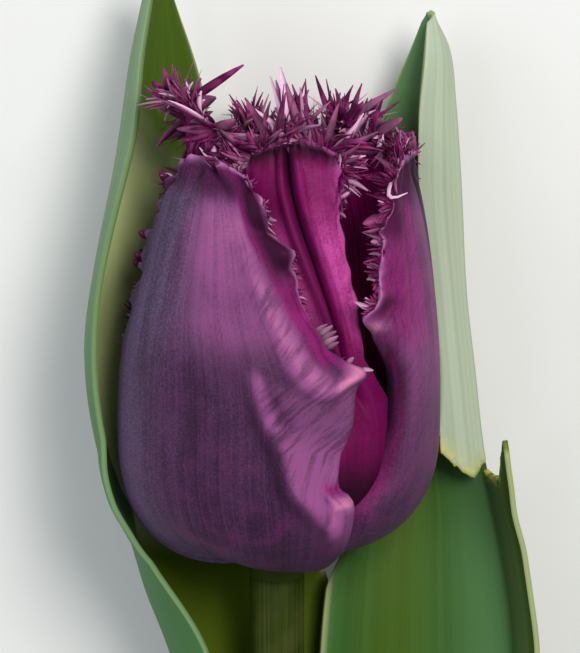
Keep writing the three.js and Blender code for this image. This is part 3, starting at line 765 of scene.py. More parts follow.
print("front outer petal:", PETALS["outer_petal_front"]["height"], "mm high")

# %% [markdown]
# ### The right outer petal
#
# It covers the right of the cup. Its left edge rolls in on a small radius and leaves a gap, in
# which the inner petals show. A pale curled thread hangs from its fringe: the first lock.

# %% The right outer petal
PETALS["outer_petal_right"] = {
    "azimuth": [(0, 88), (0.7, 88), (1, 73)],
    "height": 59,
    "tip_radius": 16.7,
    "left_spread": [
        (0, 42), (0.06, 53), (0.1, 55.5), (0.2, 60), (0.27, 52), (0.33, 46), (0.42, 43), (0.5, 45),
        (0.58, 51), (0.62, 57), (0.65, 52), (0.7, 50), (0.81, 42), (0.88, 32), (1, 12),
    ],
    "left_middle": [(0, 42), (0.1, 53), (0.25, 52), (0.45, 48), (0.64, 48), (0.81, 41), (1, 12)],
    "left_curl": [(0.12, 0), (0.26, 0.25), (0.34, 0.33), (0.5, 0.33), (0.58, 0.12), (0.64, 0)],
    "left_curl_start": [(0.2, 0.76), (0.3, 0.6), (0.5, 0.6), (0.64, 0.76)],
    "right_spread": [
        (0, 38), (0.1, 46), (0.25, 48), (0.42, 48), (0.56, 44), (0.78, 36), (0.93, 26), (1, 11),
    ],
    "inset": [(0, 0)],
    "folds": right_folds,
    "tints": right_tints,
    "ruffle": 1.4,
    "seed": 2,
    "fringe": {
        "length": (1.8, 3), "flare": -0.4, "wild": 1.4, "start": (0.62, 0.88), "sweep": (0, 0, 0.2),
        "pale": 0.2,
        "locks": [
            (-0.28, (-7.5, -6.5, -11.5), (8.5, 2, 8.4), 0.36, 1.0),
            (-0.37, (-3.5, -0.5, 1.5), (0, 0, -0.6), 1.1, 0),
            (-0.31, (-3, 0.2, 2.5), (0, 0, -0.5), 1, 0.05),
            (-0.46, (-3.8, -0.6, 0.6), (0, 0, 0.4), 1.1, 0),
            (-0.56, (-3.2, -1, 0.2), (0, 0, -0.5), 1, 0.05),
            (-0.64, (-2.8, -1, 0.5), (0, 0, 0.5), 0.9, 0.1),
            (-0.96, (-2.6, -0.5, 0.8), (0, 0, 0.4), 0.5, 0.5),
            (-0.83, (-1.6, -0.5, 0.9), (0, 0, -0.8), 0.6, 0.25),
            (-0.77, (-1.8, -0.5, 0.8), (0, 0, -0.8), 0.65, 0.3),
            (-0.72, (-1.7, -0.5, 1), (0, 0, -0.8), 0.6, 0.2),
            (-0.67, (-1.6, -0.5, 1.2), (0, 0, -0.8), 0.6, 0.25),
        ],
    },
}
print("right outer petal:", PETALS["outer_petal_right"]["height"], "mm high")

# %% [markdown]
# ### The back outer petal
#
# It lies underneath and carries the flower, so only its tip shows from above, and its sides are
# plain.

# %% The back outer petal
BROAD = [(0, 40), (0.1, 50), (0.25, 53), (0.42, 53), (0.56, 46), (0.78, 33), (0.93, 20), (1, 9)]
PETALS["outer_petal_back"] = {
    "azimuth": [(0, 203)],
    "height": 60.5,
    "tip_radius": 16.5,
    "swell": 0.6,
    "left_spread": BROAD,
    "right_spread": BROAD,
    "inset": [(0, 0)],
    "folds": plain_folds,
    "tints": plain_tints,
    "ruffle": 1.2,
    "seed": 3,
    "fringe": {
        "length": (1.2, 4), "flare": 0.1, "wild": 1.8, "start": (0.5, 0.5), "sweep": (0, 0, 0.3),
        "pale": 0.3,
        "locks": [],
    },
}
print("back outer petal:", PETALS["outer_petal_back"]["height"], "mm high")

# %% [markdown]
# ### The front inner petal
#
# The bright petal in the gap stands behind both outer ones, so it is set well in. Its fringe is
# long and has the most pale needles, which carry painted highlights.

# %% The front inner petal
PETALS["inner_petal_front"] = {
    "azimuth": [(0, 27), (0.3, 26), (0.5, 24), (0.58, 21), (0.7, 14), (0.84, 5), (1, -3)],
    "height": 63,
    "tip_radius": 16.5,
    "lift": [(0, 2.8)],
    "inset": [(0, WHORL_INSET), (0.2, 2.6), (0.3, 4.2), (0.42, 4.8), (0.75, 4.6), (1, 3)],
    "left_spread": [(0, 36), (0.2, 38), (0.5, 36), (0.8, 30), (0.95, 24), (1, 14)],
    "right_spread": [
        (0, 20), (0.2, 18), (0.25, 26), (0.3, 31), (0.33, 32.5), (0.383, 30), (0.442, 22.5),
        (0.5, 16), (0.65, 18), (0.84, 22), (0.97, 25), (1, 17),
    ],
    "folds": midrib_folds,
    "tints": midrib_tints,
    "ruffle": 1.2,
    "seed": 4,
    "fringe": {
        "length": (2, 6.5), "flare": 0.5, "wild": 1.7, "start": (0.84, 0.84),
        "sweep": (0.2, 0, 0.3), "pale": 0.4,
        "locks": [
            (0.02, (-1.2, -0.5, 9.8), (-0.4, 0, 0), 1.2, 1.0),
            (-0.02, (-2.2, -0.5, 8.4), (-0.3, 0, 0.2), 0.9, 0.7),
            (0, (-1.9, -0.3, 8), (0, 0, 0), 0.8, 0.15),
            (-0.2, (-3, -0.5, 6.5), (-0.5, 0, 0), 0.8, 0.05),
            (0.25, (1.5, -0.3, 6.2), (0.3, 0, 0), 0.7, 0.1),
            (0.3, (4, -1, 5), (0.5, 0, 0.3), 0.8, 0.35),
            (0.3, (6, -1, 2.5), (0, 0, 0.5), 0.7, 0.1),
            (-0.3, (-5, -1, 2.5), (0, 0, 0.8), 0.7, 0.1),
            (0.33, (5, -1.5, 6), (-1, 0, 0), 0.5, 0.8),
        ],
    },
}
print("front inner petal:", PETALS["inner_petal_front"]["height"], "mm high")

# %% [markdown]
# ### The left inner petal
#
# Only its tip shows. It turns out to the left at the top, with a wild tuft whose longest needle
# reaches to the right.

# %% The left inner petal
PETALS["inner_petal_left"] = {
    "azimuth": [(0, 268), (0.6, 270), (0.8, 280), (1, 290)],
    "height": 65,
    "tip_radius": 14.4,
    "lift": [(0, 2.9)],
    "inset": [(0, WHORL_INSET), (0.3, 1.9), (0.5, 2.4), (0.84, 2.7), (0.94, 0.8), (1, -3)],
    "left_spread": [(0, 38), (0.15, 45), (0.5, 43), (0.8, 38), (0.94, 34), (1, 20)],
    "right_spread": [(0, 38), (0.15, 45), (0.5, 40), (0.8, 36), (0.94, 34), (1, 20)],
    "folds": plain_folds,
    "tints": plain_tints,
    "ruffle": 2.2,
    "seed": 5,
    "fringe": {
        "length": (2.2, 5.5), "flare": 0.3, "wild": 2.0, "start": (0.72, 0.85),
        "sweep": (-0.5, 0, 0.1), "pale": 0.35,
        "locks": [
            (0, (8.3, -1, 5.9), (0, 0, -0.3), 0.75, 0),
            (0.05, (2.5, -1, 4), (0, 0, -0.3), 1.1, 0.05),
            (0.12, (3.5, -1.2, 2.5), (0, 0, -0.8), 1.1, 0.1),
            (-0.15, (-3.5, -1, 3.5), (0, 0, 0), 1.1, 0),
            (0.1, (-3, -1.5, 3), (0, 0, 0.3), 1.2, 0.05),
            (0.16, (0.5, -1.5, 3.5), (-0.8, 0, 0), 1.1, 0.05),
            (0.3, (2.5, -2, 1), (0, 0, 0.6), 1, 0.1),
            (0.26, (-5.4, -1.7, 4.5), (0, 0, -1.2), 1.1, 1.0),
            (0.2, (-1, -1.5, 4), (1.2, 0, -0.3), 0.5, 1.0),
            (-0.26, (-4.5, -0.5, 3.2), (0, 0, 0), 0.7, 0.1),
            (-0.32, (-5, -1, -1.5), (0.5, 0, -2.2), 0.8, 0.1),
            (0.2, (-6.5, -2, 2.5), (0, 0, 0.5), 0.9, 0.1),
            (0.3, (-5.5, -2.2, 3), (0, 0, 0.5), 0.8, 0),
            (0.34, (-6, -2.5, 1.5), (0, 0, -0.6), 0.8, 0.05),
            (0.36, (6, -1.5, -0.3), (0, 0, 0.5), 0.6, 0.3),
            (0.4, (5.5, -1.5, 0.5), (0, 0, -0.8), 0.5, 0.1),
            (-0.1, (-1.5, 0, 5.5), (0.3, 0, 0), 0.5, 0),
            (-0.05, (2.5, 0, 5.5), (0, 0, 0.4), 0.6, 0.1),
            (0.5, (-1.5, -2.5, 5), (0.8, 0, 0), 0.5, 0.3),
        ],
    },
}
print("left inner petal:", PETALS["inner_petal_left"]["height"], "mm high")

# %% [markdown]
# ### The back inner petal
#
# It closes the cup behind the gap and shows its inner face there. Its fringe leans to the right.

# %% The back inner petal
PETALS["inner_petal_back"] = {
    "azimuth": [(0, 148), (0.6, 145), (1, 153)],
    "height": 61.5,
    "tip_radius": 15.5,
    "inset": [(0, WHORL_INSET)],
    "left_spread": [(0, 38), (0.15, 45), (0.5, 43), (0.8, 40), (0.94, 38), (1, 20)],
    "right_spread": [(0, 38), (0.15, 45), (0.5, 43), (0.8, 34), (0.94, 24), (1, 11)],
    "folds": plain_folds,
    "tints": plain_tints,
    "ruffle": 1.6,
    "seed": 6,
    "fringe": {
        "length": (2.5, 5.8), "flare": 0.0, "wild": 1.6, "start": (0.86, 0.7),
        "sweep": (0.8, -0.3, 0.1), "pale": 0.35,
        "locks": [
            (-0.25, (4, -1, 2.5), (0, 0, 0), 0.9, 0.1),
            (-0.1, (5.5, -2, 0.3), (0, 0, 0.5), 0.9, 0.1),
            (0.1, (6.5, -2, 1), (0, 0, -0.5), 0.9, 0.2),
            (0.32, (7, -1.5, 1.5), (0, 0, 0.6), 0.8, 0.6),
            (0.2, (3, -1, 4.5), (0, 0, 0), 0.8, 0),
            (0, (2, -0.5, 4.5), (0, 0, 0), 0.7, 0.05),
            (-0.35, (4, -2, -1.5), (0, 0, 0.5), 0.8, 0.15),
        ],
    },
}
print("back inner petal:", PETALS["inner_petal_back"]["height"], "mm high")

# %% [markdown]
# ## From a flat grid to a petal
#
# A petal starts as a flat grid with a UV map. Each vertex is moved to its place in the cup, and the
# whole grid is laid down. Solidify then gives it two faces, and gives the inner one its own finish.

# %% Build the petals
PETAL_COLUMNS = 80
PETAL_ROWS = 140
PETAL_TINTS = ("wax", "rosy_and_highlight", "bare_and_midrib_shade", "shade", "facet", "rim")


def finished_piece(name, bm, materials, node, thickness_mm=0):
    """Lays a bmesh down as a smooth piece that stands for a solid, with a wall if it is thin."""
    bmesh.ops.transform(bm, matrix=LAY_DOWN, verts=bm.verts)
    mesh = bpy.data.meshes.new(name)
    bm.to_mesh(mesh)
    bm.free()
    for material in materials:
        mesh.materials.append(material)
    mesh.polygons.foreach_set("use_smooth", [True] * len(mesh.polygons))
    piece = bpy.data.objects.new(name, mesh)
    bpy.context.scene.collection.objects.link(piece)
    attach(piece, "root")
    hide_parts(node)
    if thickness_mm:
        wall = piece.modifiers.new("wall", "SOLIDIFY")
        wall.thickness = thickness_mm * MM
        wall.offset = 0
        wall.material_offset = 1
        wall.material_offset_rim = 1


def blade_grid(columns, rows, tints):
    """A flat grid from -1 to 1 with a UV map, and one layer of numbers for each tint."""
    bm = bmesh.new()
    bm.loops.layers.uv.new("UVMap")
    layers = [bm.verts.layers.float.new(tint) for tint in tints]
    bmesh.ops.create_grid(bm, x_segments=columns, y_segments=rows, size=1, calc_uvs=True)
    return bm, layers


def petal_slot(name):
    return "inner_petal" if name.startswith("inner") else "outer_petal"


def petal_blade(name, petal):
    bm, layers = blade_grid(PETAL_COLUMNS, PETAL_ROWS, PETAL_TINTS)
    for vertex in bm.verts:
        u, v = vertex.co.x, (vertex.co.y + 1) / 2
        rim = max(ease(0.965, 1, abs(u)) * ease(0.5, 0.7, v), ease(0.98, 1, v))
        for layer, value in zip(layers, (*petal["tints"](u, v), rim)):
            vertex[layer] = value
        vertex.co = petal_point(petal, u, v)
    slot = petal_slot(name)
    faces = [outer_outside, outer_inside]
    if slot == "inner_petal":
        faces = [inner_outside, inner_inside]
    finished_piece(name + "_blade", bm, faces, name, PETAL_THICKNESS)


for name, petal in PETALS.items():
    petal_blade(name, petal)
print("petals:", len(PETALS))

# %% [markdown]
# ## The fringe
#
# Up close a fringe is a crowd of flat curved needles of every length, longest at the tip of the
# petal and short down its sides. One slim five-sided cone with a few rings serves as the pattern.
# For each needle the cone is copied into the petal's mesh, its first ring is sunk into the edge,
# and the rest is bent along a curve, flattened and twisted.

# %% One needle
NEEDLE_SIDES = 5
NEEDLE_RINGS = 6
NEEDLE_POINT = 0.06
NEEDLE_FOOT = 1 / (NEEDLE_RINGS + 1)  # the share of the pattern under its first ring
ROOT_DEPTH = 0.7  # how far the foot is sunk into the edge
ROOT_THICKNESS = 0.12


def needle_pattern():
    """A cone of height 1 and radius 1 on z = 0."""
    bm = bmesh.new()
    bmesh.ops.create_cone(
        bm,
        cap_ends=True,
        segments=NEEDLE_SIDES,
        radius1=1,
        radius2=NEEDLE_POINT,
        depth=1,
        matrix=Matrix.Translation((0, 0, 0.5)),
    )
    sides = [e for e in bm.edges if abs(e.verts[0].co.z - e.verts[1].co.z) > 0.5]
    bmesh.ops.subdivide_edges(bm, edges=sides, cuts=NEEDLE_RINGS)
    mesh = bpy.data.meshes.new("needle pattern")
    bm.to_mesh(mesh)
    bm.free()
    return mesh


def add_needle(bm, pattern, edge, reach, curve, half_width, twist, pale):
    """Copies the pattern to the edge's root. Reach and curve are where it goes and how it bends."""
    first = len(bm.verts)
    bm.from_mesh(pattern)
    bm.verts.ensure_lookup_table()
    for vertex in bm.verts[first:]:
        x, y, t = vertex.co
        s = (t - NEEDLE_FOOT) / (1 - NEEDLE_FOOT)
        if s < -0.01:
            spine = edge["root"] - edge["outward"] * ROOT_DEPTH
            across, flat = edge["run"], edge["outside"]
            s, thin = 0, ROOT_THICKNESS
        else:
            spine = edge["root"] + reach * s + curve * (s * s)
            heading = (reach + curve * (2 * s)).normalized()
            turn = Matrix.Rotation(twist * (0.4 + s), 3, heading)
            flat = (turn @ edge["run"].cross(heading)).normalized()
            across = heading.cross(flat)
            thin = max(0.1, 0.3 * half_width) * (1.2 - t)
        strap = half_width * (1 + 2.2 * max(s, 0))
        vertex.co = spine + across * (x * strap) + flat * (y * thin / max(1 - 0.94 * t, 0.2))
        vertex.co.y = min(vertex.co.y, TABLE_DEPTH - TABLE_GAP)
        vertex[bm.verts.layers.float["tip"]] = s
        vertex[bm.verts.layers.float["pale"]] = pale


# %% [markdown]
# The needles come in small fans that share a lean and a curl, one fan at the very edge and one just
# behind it. The middle needle of a fan is broad, and so the fan reads as a torn lobe.

# %% Build the fringe
TIP_SHARE = 0.3
FANS = 50
NEEDLES_IN_FAN = 5
FAN_REACH = 1.2 / FANS  # from a fan's middle needle to its last
FAN_SPREAD = 0.4
FAN_CURL = 0.55
CROWDING = 1.35  # above 1, the fans crowd towards the tip
LENGTHENING = 1.2  # above 1, the needles stay short until near the tip
NEEDLE_STRAY = 0.15  # how far a needle leans and curls out of its fan's order
NEEDLE_CURL = 0.12
HALF_WIDTH = 0.15  # of a needle, and how much more for each mm of its length
HALF_WIDTH_GAIN = 0.055
MIDDLE_BROADER = 1.5
BACK_ROW_DEPTH = 0.5  # how far the back row stands and leans behind the front one
BACK_ROW_SHORTER = 0.25
LOCK_TWIST = 0.3


def petal_edge(petal, m, inset=0.0):
    """The edge from the left start of the fringe at -1, over the tip at 0, to the right at 1."""
    if abs(m) < TIP_SHARE:
        return petal_point(petal, m / TIP_SHARE, 1 - 0.3 * inset)
    down = (abs(m) - TIP_SHARE) / (1 - TIP_SHARE)
    v = 1 - down * (1 - petal["fringe"]["start"][m > 0])
    return petal_point(petal, math.copysign(1 - inset, m), v)


def edge_frame(petal, m, inset=0.0):
    """A needle's root, and three directions there: along the edge, out of it and off the petal."""
    root = petal_edge(petal, m, inset)
    run = petal_edge(petal, min(m + 0.02, 1)) - petal_edge(petal, max(m - 0.02, -1))
    run.normalize()
    outward = (root - petal_edge(petal, m, inset + 0.08)).normalized()
    outside = run.cross(outward).normalized()
    return {"root": root, "run": run, "outward": outward, "outside": outside}


def jitter(rng, amount):
    return Vector([rng.uniform(-amount, amount) for _ in range(3)])


def add_fan(bm, pattern, petal, rng, middle, row):
    """One fan of needles, at the edge in row 0 or just behind it in row 1."""
    fringe = petal["fringe"]
    shortest, longest = fringe["length"]
    edge = edge_frame(petal, middle)
    to_tip = 1 - abs(middle)
    length = shortest + (longest - shortest) * to_tip**LENGTHENING
    flare = fringe["flare"] + fringe["wild"] * rng.uniform(-0.5, 0.5) - BACK_ROW_DEPTH * row
    lean = edge["outward"] + Vector(fringe["sweep"]) * to_tip + edge["outside"] * flare
    lean += edge["run"] * (fringe["wild"] * rng.uniform(-0.5, 0.5))
    lean.normalize()
    curl, fan_pale = jitter(rng, FAN_CURL), rng.random() ** 3
    for n in range(NEEDLES_IN_FAN):
        side = n / (NEEDLES_IN_FAN - 1) * 2 - 1
        m = min(max(middle + side * FAN_REACH, -1), 1)
        root = edge_frame(petal, m, row * rng.uniform(0.03, 0.1))
        root["root"] -= root["outside"] * (BACK_ROW_DEPTH * row)
        direction = lean + edge["run"] * side * FAN_SPREAD + jitter(rng, NEEDLE_STRAY)
        direction.normalize()
        reach = length * rng.uniform(0.5, 1.1) * (1 - BACK_ROW_SHORTER * row)
        broad = MIDDLE_BROADER if n == NEEDLES_IN_FAN // 2 else 1
        half_width = (HALF_WIDTH + HALF_WIDTH_GAIN * length) * broad * rng.uniform(0.7, 1.2)
        pale = min(1, fan_pale * rng.random() ** (1 / fringe["pale"]) * 1.6)
        curve = (curl + jitter(rng, NEEDLE_CURL)) * reach
        twist = rng.uniform(-1, 1)
        add_needle(bm, pattern, root, direction * reach, curve, half_width, twist, pale)


def petal_fringe(name, petal, pattern):
    """Makes a petal's fringe and returns how many needles it has."""
    rng = random.Random(petal["seed"])
    bm = bmesh.new()
    bm.verts.layers.float.new("tip")
    bm.verts.layers.float.new("pale")
    locks = petal["fringe"]["locks"]
    for m, reach, curve, half_width, pale in locks:
        reach, curve = Vector(reach), Vector(curve)
        edge = edge_frame(petal, m)
        add_needle(bm, pattern, edge, reach, curve, half_width, LOCK_TWIST, pale)
    for k in range(2 * FANS):
        middle, row = -1 + 2 * (k // 2 + rng.random()) / FANS, k % 2
        middle = math.copysign(abs(middle) ** CROWDING, middle)
        add_fan(bm, pattern, petal, rng, middle, row)
    finished_piece(name + "_fringe", bm, [fringe_material], name)
    return len(locks) + 2 * FANS * NEEDLES_IN_FAN


pattern = needle_pattern()
print("needles:", sum(petal_fringe(name, petal, pattern) for name, petal in PETALS.items()))
bpy.data.meshes.remove(pattern)

# %% [markdown]
# ## Leaves
#
# A tulip's leaf is a long blade folded like a gutter, blue-green and waxed outside and plain green
# inside, with fine parallel veins and a pale thin edge. A torn end dries yellow. Where light would
# fall through the blade beside the cup, the inside is painted pale as painted light, and in the
# fold it is olive. A lighter green is painted on the inside where it lies in shade, as painted
# light, and a darker green on the outside where it lies in shade, as painted shade. These places
# are painted on the mesh as numbers, as on the petals, so that they follow the fold.

# %% Leaf finishes
LEAF_GLOW_REACH = (0.0008, 0.0015, 0.0004)
LEAF_OLIVE = chart(74, 92, 4)
LEAF_SUNLIT = chart(214, 228, 160)
LEAF_LIT_GREEN = chart(90, 132, 86)
LEAF_SHADED_GREEN = chart(64, 116, 58)
LEAF_EDGE = chart(178, 188, 134)
LEAF_TORN = chart(208, 206, 84)


def leaf_finish(name, dark, light, wax, wax_share, inside):
    tint = (0.85, 0.95, 0.95, 1)
    f = Finish(name, 0.6, sheen=0.03, sheen_tint=tint, glow=0.06, reach=LEAF_GLOW_REACH)
    veins, bands = f.streaks(150, 1, detail=2), f.streaks(12, 0.4, detail=3)
    body = f.mix(f.between(veins, 0.3, 0.7), dark, light)
    body = f.mix(f.times(f.between(bands, 0.25, 0.75), wax_share), body, wax)
    # Painted light on the inside: the pale sunlit colour and a lighter green where it lies in
    # shade. Painted shade on the outside: a darker green where it lies in shade.
    if inside:
        body = f.painted("sunlit", f.painted("olive", body, LEAF_OLIVE), LEAF_SUNLIT)
        body = f.painted("lit_green", body, LEAF_LIT_GREEN)
    else:
        body = f.painted("shaded_green", body, LEAF_SHADED_GREEN)
    edged = f.painted("rim", body, LEAF_EDGE)
    torn = f.times(f.attribute("torn"), f.between(f.speckle(1.2), 0.3, 0.6))
    f.colour(f.mix(torn, edged, LEAF_TORN))
    f.relief(f.math("ADD", veins, bands), 0.03)
    return f.material


leaf_outside = leaf_finish(
    "leaf outside", chart(156, 172, 144), chart(166, 180, 154), chart(192, 200, 182), 0.6, False
)
leaf_inside = leaf_finish(
    "leaf inside", chart(38, 66, 18), chart(48, 80, 28), chart(66, 108, 50), 0.8, True
)
print("leaf finishes: 2")

# %% [markdown]
# Three lines run up a leaf: the near edge, the keel and the far edge. Each is written as two sets
# of knots by height, to the side and in depth, and the grid is stretched between them. A bow gives
# how far each half bulges, in mm. A fourth line, the flap, is the near edge of the right leaf's
# torn half. The stem's line and the cup's outline are kept too, because the leaves clasp the one
# and lean on the other.

# %% The stem's line, the cup's outline and the leaves' tints
STEM_LINE = [(-160, 20.1), (-125, 14.5), (-90, 7.5), (-60, 2.6), (-30, 0.3), (0, 0)]
LEAF_CUP = [
    (-14, 0), (-9, 9), (-4, 16), (0, 20), (4, 22.4), (8, 24.4), (14, 25.8), (28, 25.8), (40, 24),
    (50, 21), (60, 16),
]
LEAF_TINTS = ("olive", "sunlit", "lit_green", "shaded_green")


def left_leaf_tints(u, z):
    """How olive the inside is, how much it is painted sunlit and lit green as painted light, and
    how much the outside is painted a shaded green as painted shade.
    """
    olive = 1 - 0.4 * ease(30, 60, z)
    sunlit = ease(-4, 8, z) * (1 - ease(58, 70, z + 18 * max(u, 0))) * ease(-0.5, -0.3, u)
    sunlit *= 0.95 - 0.4 * hump(33, 14, z)
    green = 0.95 - 0.35 * ease(0, 60, z)
    return olive, sunlit, green if u < 0 else 0, green * (1 - ease(0, 0.9, u))


def right_leaf_tints(u, z):
    # Painted light lightens the inside by the keel and near the tip, and painted shade darkens the
    # outside near the far edge, low down.
    if u > 0:
        fold, top = 0.65 * (1 - ease(0, 0.45, u)), 0.9 * ease(40, 55, z)
        shaded_green = ease(0.4, 0.95, u) * ease(30, 2, z)
        return 0.5 * hump(0.6, 0.2, u), 0.3 * ease(45, 60, z), max(fold, top), shaded_green
    if z > 12:
        return 0, 0.4 * ease(70, 77, z), 0, 0
    return 0.6 * hump(-0.85, 0.3, u), 0.1 * hump(-0.4, 0.35, u), 0, 0


print("stem's sag at its cut end:", STEM_LINE[0][1], "mm")

# %% [markdown]
# ### The left leaf
#
# It stands on its keel beside the cup, open towards the flower, and its two edges meet at the tip.

# %% The left leaf
LEFT_LEAF = {
    "base": -70,
    "tip": 84,
    "keel": (
        [
            (-70, -4.9), (-55, -5.8), (-35, -9.8), (-15, -16.5), (-8, -19.2), (-2, -20.8), (5, -22),
            (12, -25), (28, -27.4), (42, -25.5), (55, -23.2), (70, -20.9), (80, -18.4), (84, -17.2),
        ],
        [(-70, 4), (-55, 2.4), (-35, 3.5), (-15, 5), (12, 6), (42, 6), (70, 8.5), (84, 11)],
    ),
    "near": (
        [
            (-70, -2.6), (-55, -3.4), (-35, -5.4), (-15, -10), (0, -18.7), (9, -22.8), (19, -25.4),
            (28, -26.2), (36, -25.9), (44, -24.5), (60, -20.6), (72, -19.3), (80, -18.2),
            (84, -17.6),
        ],
        [
            (-70, -1.2), (-55, -3.6), (-35, -4.6), (-15, -5.4), (9, -6.5), (28, -5), (44, -3.5),
            (60, -1), (72, 4), (84, 10.2),
        ],
    ),
    "far": (
        [
            (-70, -0.4), (-55, -0.5), (-35, 2.5), (-15, 8.5), (-2, 5), (12, -5), (28, -8.5),
            (42, -8.5), (55, -9.5), (68, -11.8), (78, -14.8), (84, -16.8),
        ],
        [
            (-70, 9.2), (-55, 7.4), (-35, 8.5), (-15, 11.5), (-2, 15.5), (12, 22), (28, 23.7),
            (42, 22.8), (55, 20.5), (68, 17.2), (84, 12),
        ],
    ),
    "near_bow": [(0, 0.8)],
    "near_rim": 0.15,
    "far_bow": [(-70, 1.6), (-15, 2), (10, 2.4), (40, 2), (84, 0)],
    "tints": left_leaf_tints,
}
print("left leaf:", LEFT_LEAF["tip"] - LEFT_LEAF["base"], "mm high")

# %% [markdown]
# ### The right leaf
#
# Its near half is torn: the flap end and the fold end give the height of the tear at each place
# across it, on the flap below and on the folded part above.

# %% The right leaf
RIGHT_LEAF = {
    "base": -86,
    "tip": 77.5,
    "keel": (
        [
            (-86, 4.9), (-72, 8), (-55, 22), (-40, 31), (-25, 35.5), (-15, 35.6), (-2, 33.6),
            (11, 30.8), (24, 29.2), (36, 27.8), (52, 26.9), (64, 26), (72, 25), (77.5, 22.2),
        ],
        [(-86, 7), (-72, 6.5), (-50, 10), (-25, 12), (10, 13), (50, 13), (77.5, 13)],
    ),
    "near": (
        [(11, 24.4), (24, 23.2), (36, 22.4), (50, 20.9), (62, 20.8), (70, 21.4), (77.5, 22)],
        [(11, 9.4), (24, 9.6), (36, 10.8), (50, 11.5), (62, 10), (71, 9.5), (77.5, 12.2)],
    ),
    "flap": (
        [
            (-86, 3.2), (-72, 7), (-55, 22.6), (-40, 32.6), (-25, 37.8), (-15, 38.4), (-2, 36.6),
            (4, 35.1), (8, 34.6), (12, 34), (15, 33.7),
        ],
        [(-86, 1.6), (-72, -0.5), (-50, 0), (-25, 1), (12, 3.5)],
    ),
    "far": (
        [
            (-86, 1.2), (-72, 1.6), (-55, 3.5), (-35, 5.2), (-15, 6.6), (-6, 7.6), (2, 9),
            (12, 8.6), (25, 9), (40, 10), (55, 13.6), (66, 17.4), (72, 19.8), (77.5, 21.9),
        ],
        [
            (-86, 11.9), (-72, 9.6), (-55, 6), (-15, 6), (-6, 9), (2, 15), (12, 21.4), (25, 23.6),
            (40, 22.8), (55, 19.6), (77.5, 13.8),
        ],
    ),
    "near_bow": [(0, 0.6)],
    "near_rim": 0.65,
    "flap_bow": [(0, 0.5)],
    "far_bow": [(-86, 1.6), (-30, 3), (5, 2.6), (40, 2), (77.5, 0)],
    "tints": right_leaf_tints,
    "tear_height": 8.6,
    "flap_end": [
        (0, 8.6), (0.3, 8.1), (0.48, 8.4), (0.6, 9.9), (0.75, 11.9), (0.88, 13.9), (0.93, 14.9),
        (1, 12.8),
    ],
    "fold_end": [
        (0, 9.1), (0.12, 8.5), (0.2, 7.7), (0.36, 6.9), (0.5, 7.5), (0.66, 8.8), (0.8, 9.7),
        (1, 11.3),
    ],
}
print("right leaf:", RIGHT_LEAF["tip"] - RIGHT_LEAF["base"], "mm high")

# %% [markdown]
# A leaf that leans on the cup is pressed out to the cup's own curve, and nothing goes below the
# table. The right leaf's near half is torn across: below the tear it opens outwards as a flap that
# ends in a spike, and above it the rest stays folded in, with a ragged lower end.

# %% Leaf surface
LEAF_THICKNESS = 0.8
LEAF_WAVE = 0.5
NEAR_HALF_BOWS_UP = 15


def line_at(line, z):
    return Vector((along(line[0], z), along(line[1], z), z))


def leaf_point(leaf, u, z, part):
    """The point at u, from -1 at the near edge to 1 at the far one, on one part of the leaf."""
    keel = line_at(leaf["keel"], z)
    half = line_at(leaf[part], z) - keel
    outward = Vector((-half.y, half.x, 0)).normalized()
    away = keel - Vector((0, along(STEM_LINE, z), z))
    if part == "near":
        away.y -= NEAR_HALF_BOWS_UP
    if outward.dot(away) < 0:
        outward.negate()
    share = abs(u)
    bow = along(leaf[part + "_bow"], z)
    point = keel + half * share + outward * (bow * 4 * share * (1 - share))
    lean = cup_lean(z)
    room = along(LEAF_CUP, z) / math.hypot(point.x - lean, point.y)
    if room > 1:
        point.x = lean + (point.x - lean) * room
        point.y *= room
    wave = noise.noise(Vector((u, z * 0.07, leaf["base"])))
    point += outward * (LEAF_WAVE * ease(0.5, 1, share) * wave)
    point.y = min(point.y, TABLE_DEPTH - LEAF_THICKNESS / 2 - TABLE_GAP)
    return point


# %% [markdown]
# Both sides of a tear keep their rows, which are only pulled closer together or further apart near
# it, each side to its own ragged end. The faces between the two sides are then deleted.

# %% Build the leaves
LEAF_COLUMNS = 60
LEAF_ROWS = 200
TEAR_REACH = 12  # rows further from the tear keep their place
TEAR_JAG = 0.8
TIP_ROUNDING = 1.6


def torn_height(leaf, u, row):
    """The height of a row, and which of the leaf's halves it follows."""
    base, tip = leaf["base"], leaf["tip"]
    z = base + (tip - base) * row / LEAF_ROWS
    if u >= 0 or "flap" not in leaf:
        return z, ("far" if u >= 0 else "near")
    tear = leaf["tear_height"]
    last = round((tear - base) / (tip - base) * LEAF_ROWS)
    jag = TEAR_JAG * noise.noise(Vector((u * 17, 0, 3)))
    if row <= last:
        low = tear - TEAR_REACH
        end = along(leaf["flap_end"], -u) + jag
        return (z if z < low else low + (z - low) * (end - low) / (tear - low)), "flap"
    high = tear + TEAR_REACH
    end = along(leaf["fold_end"], -u) - jag
    return (z if z > high else high - (high - z) * (high - end) / (high - tear)), "near"


def torn_tint(leaf, u, z, part):
    """How yellow the blade has dried near the tear."""
    if part == "flap":
        return hump(0, 0.5, z - along(leaf["flap_end"], -u)) * (1 - 0.8 * ease(0.6, 0.8, -u))
    return hump(0, 2.8, z - along(leaf["fold_end"], -u))


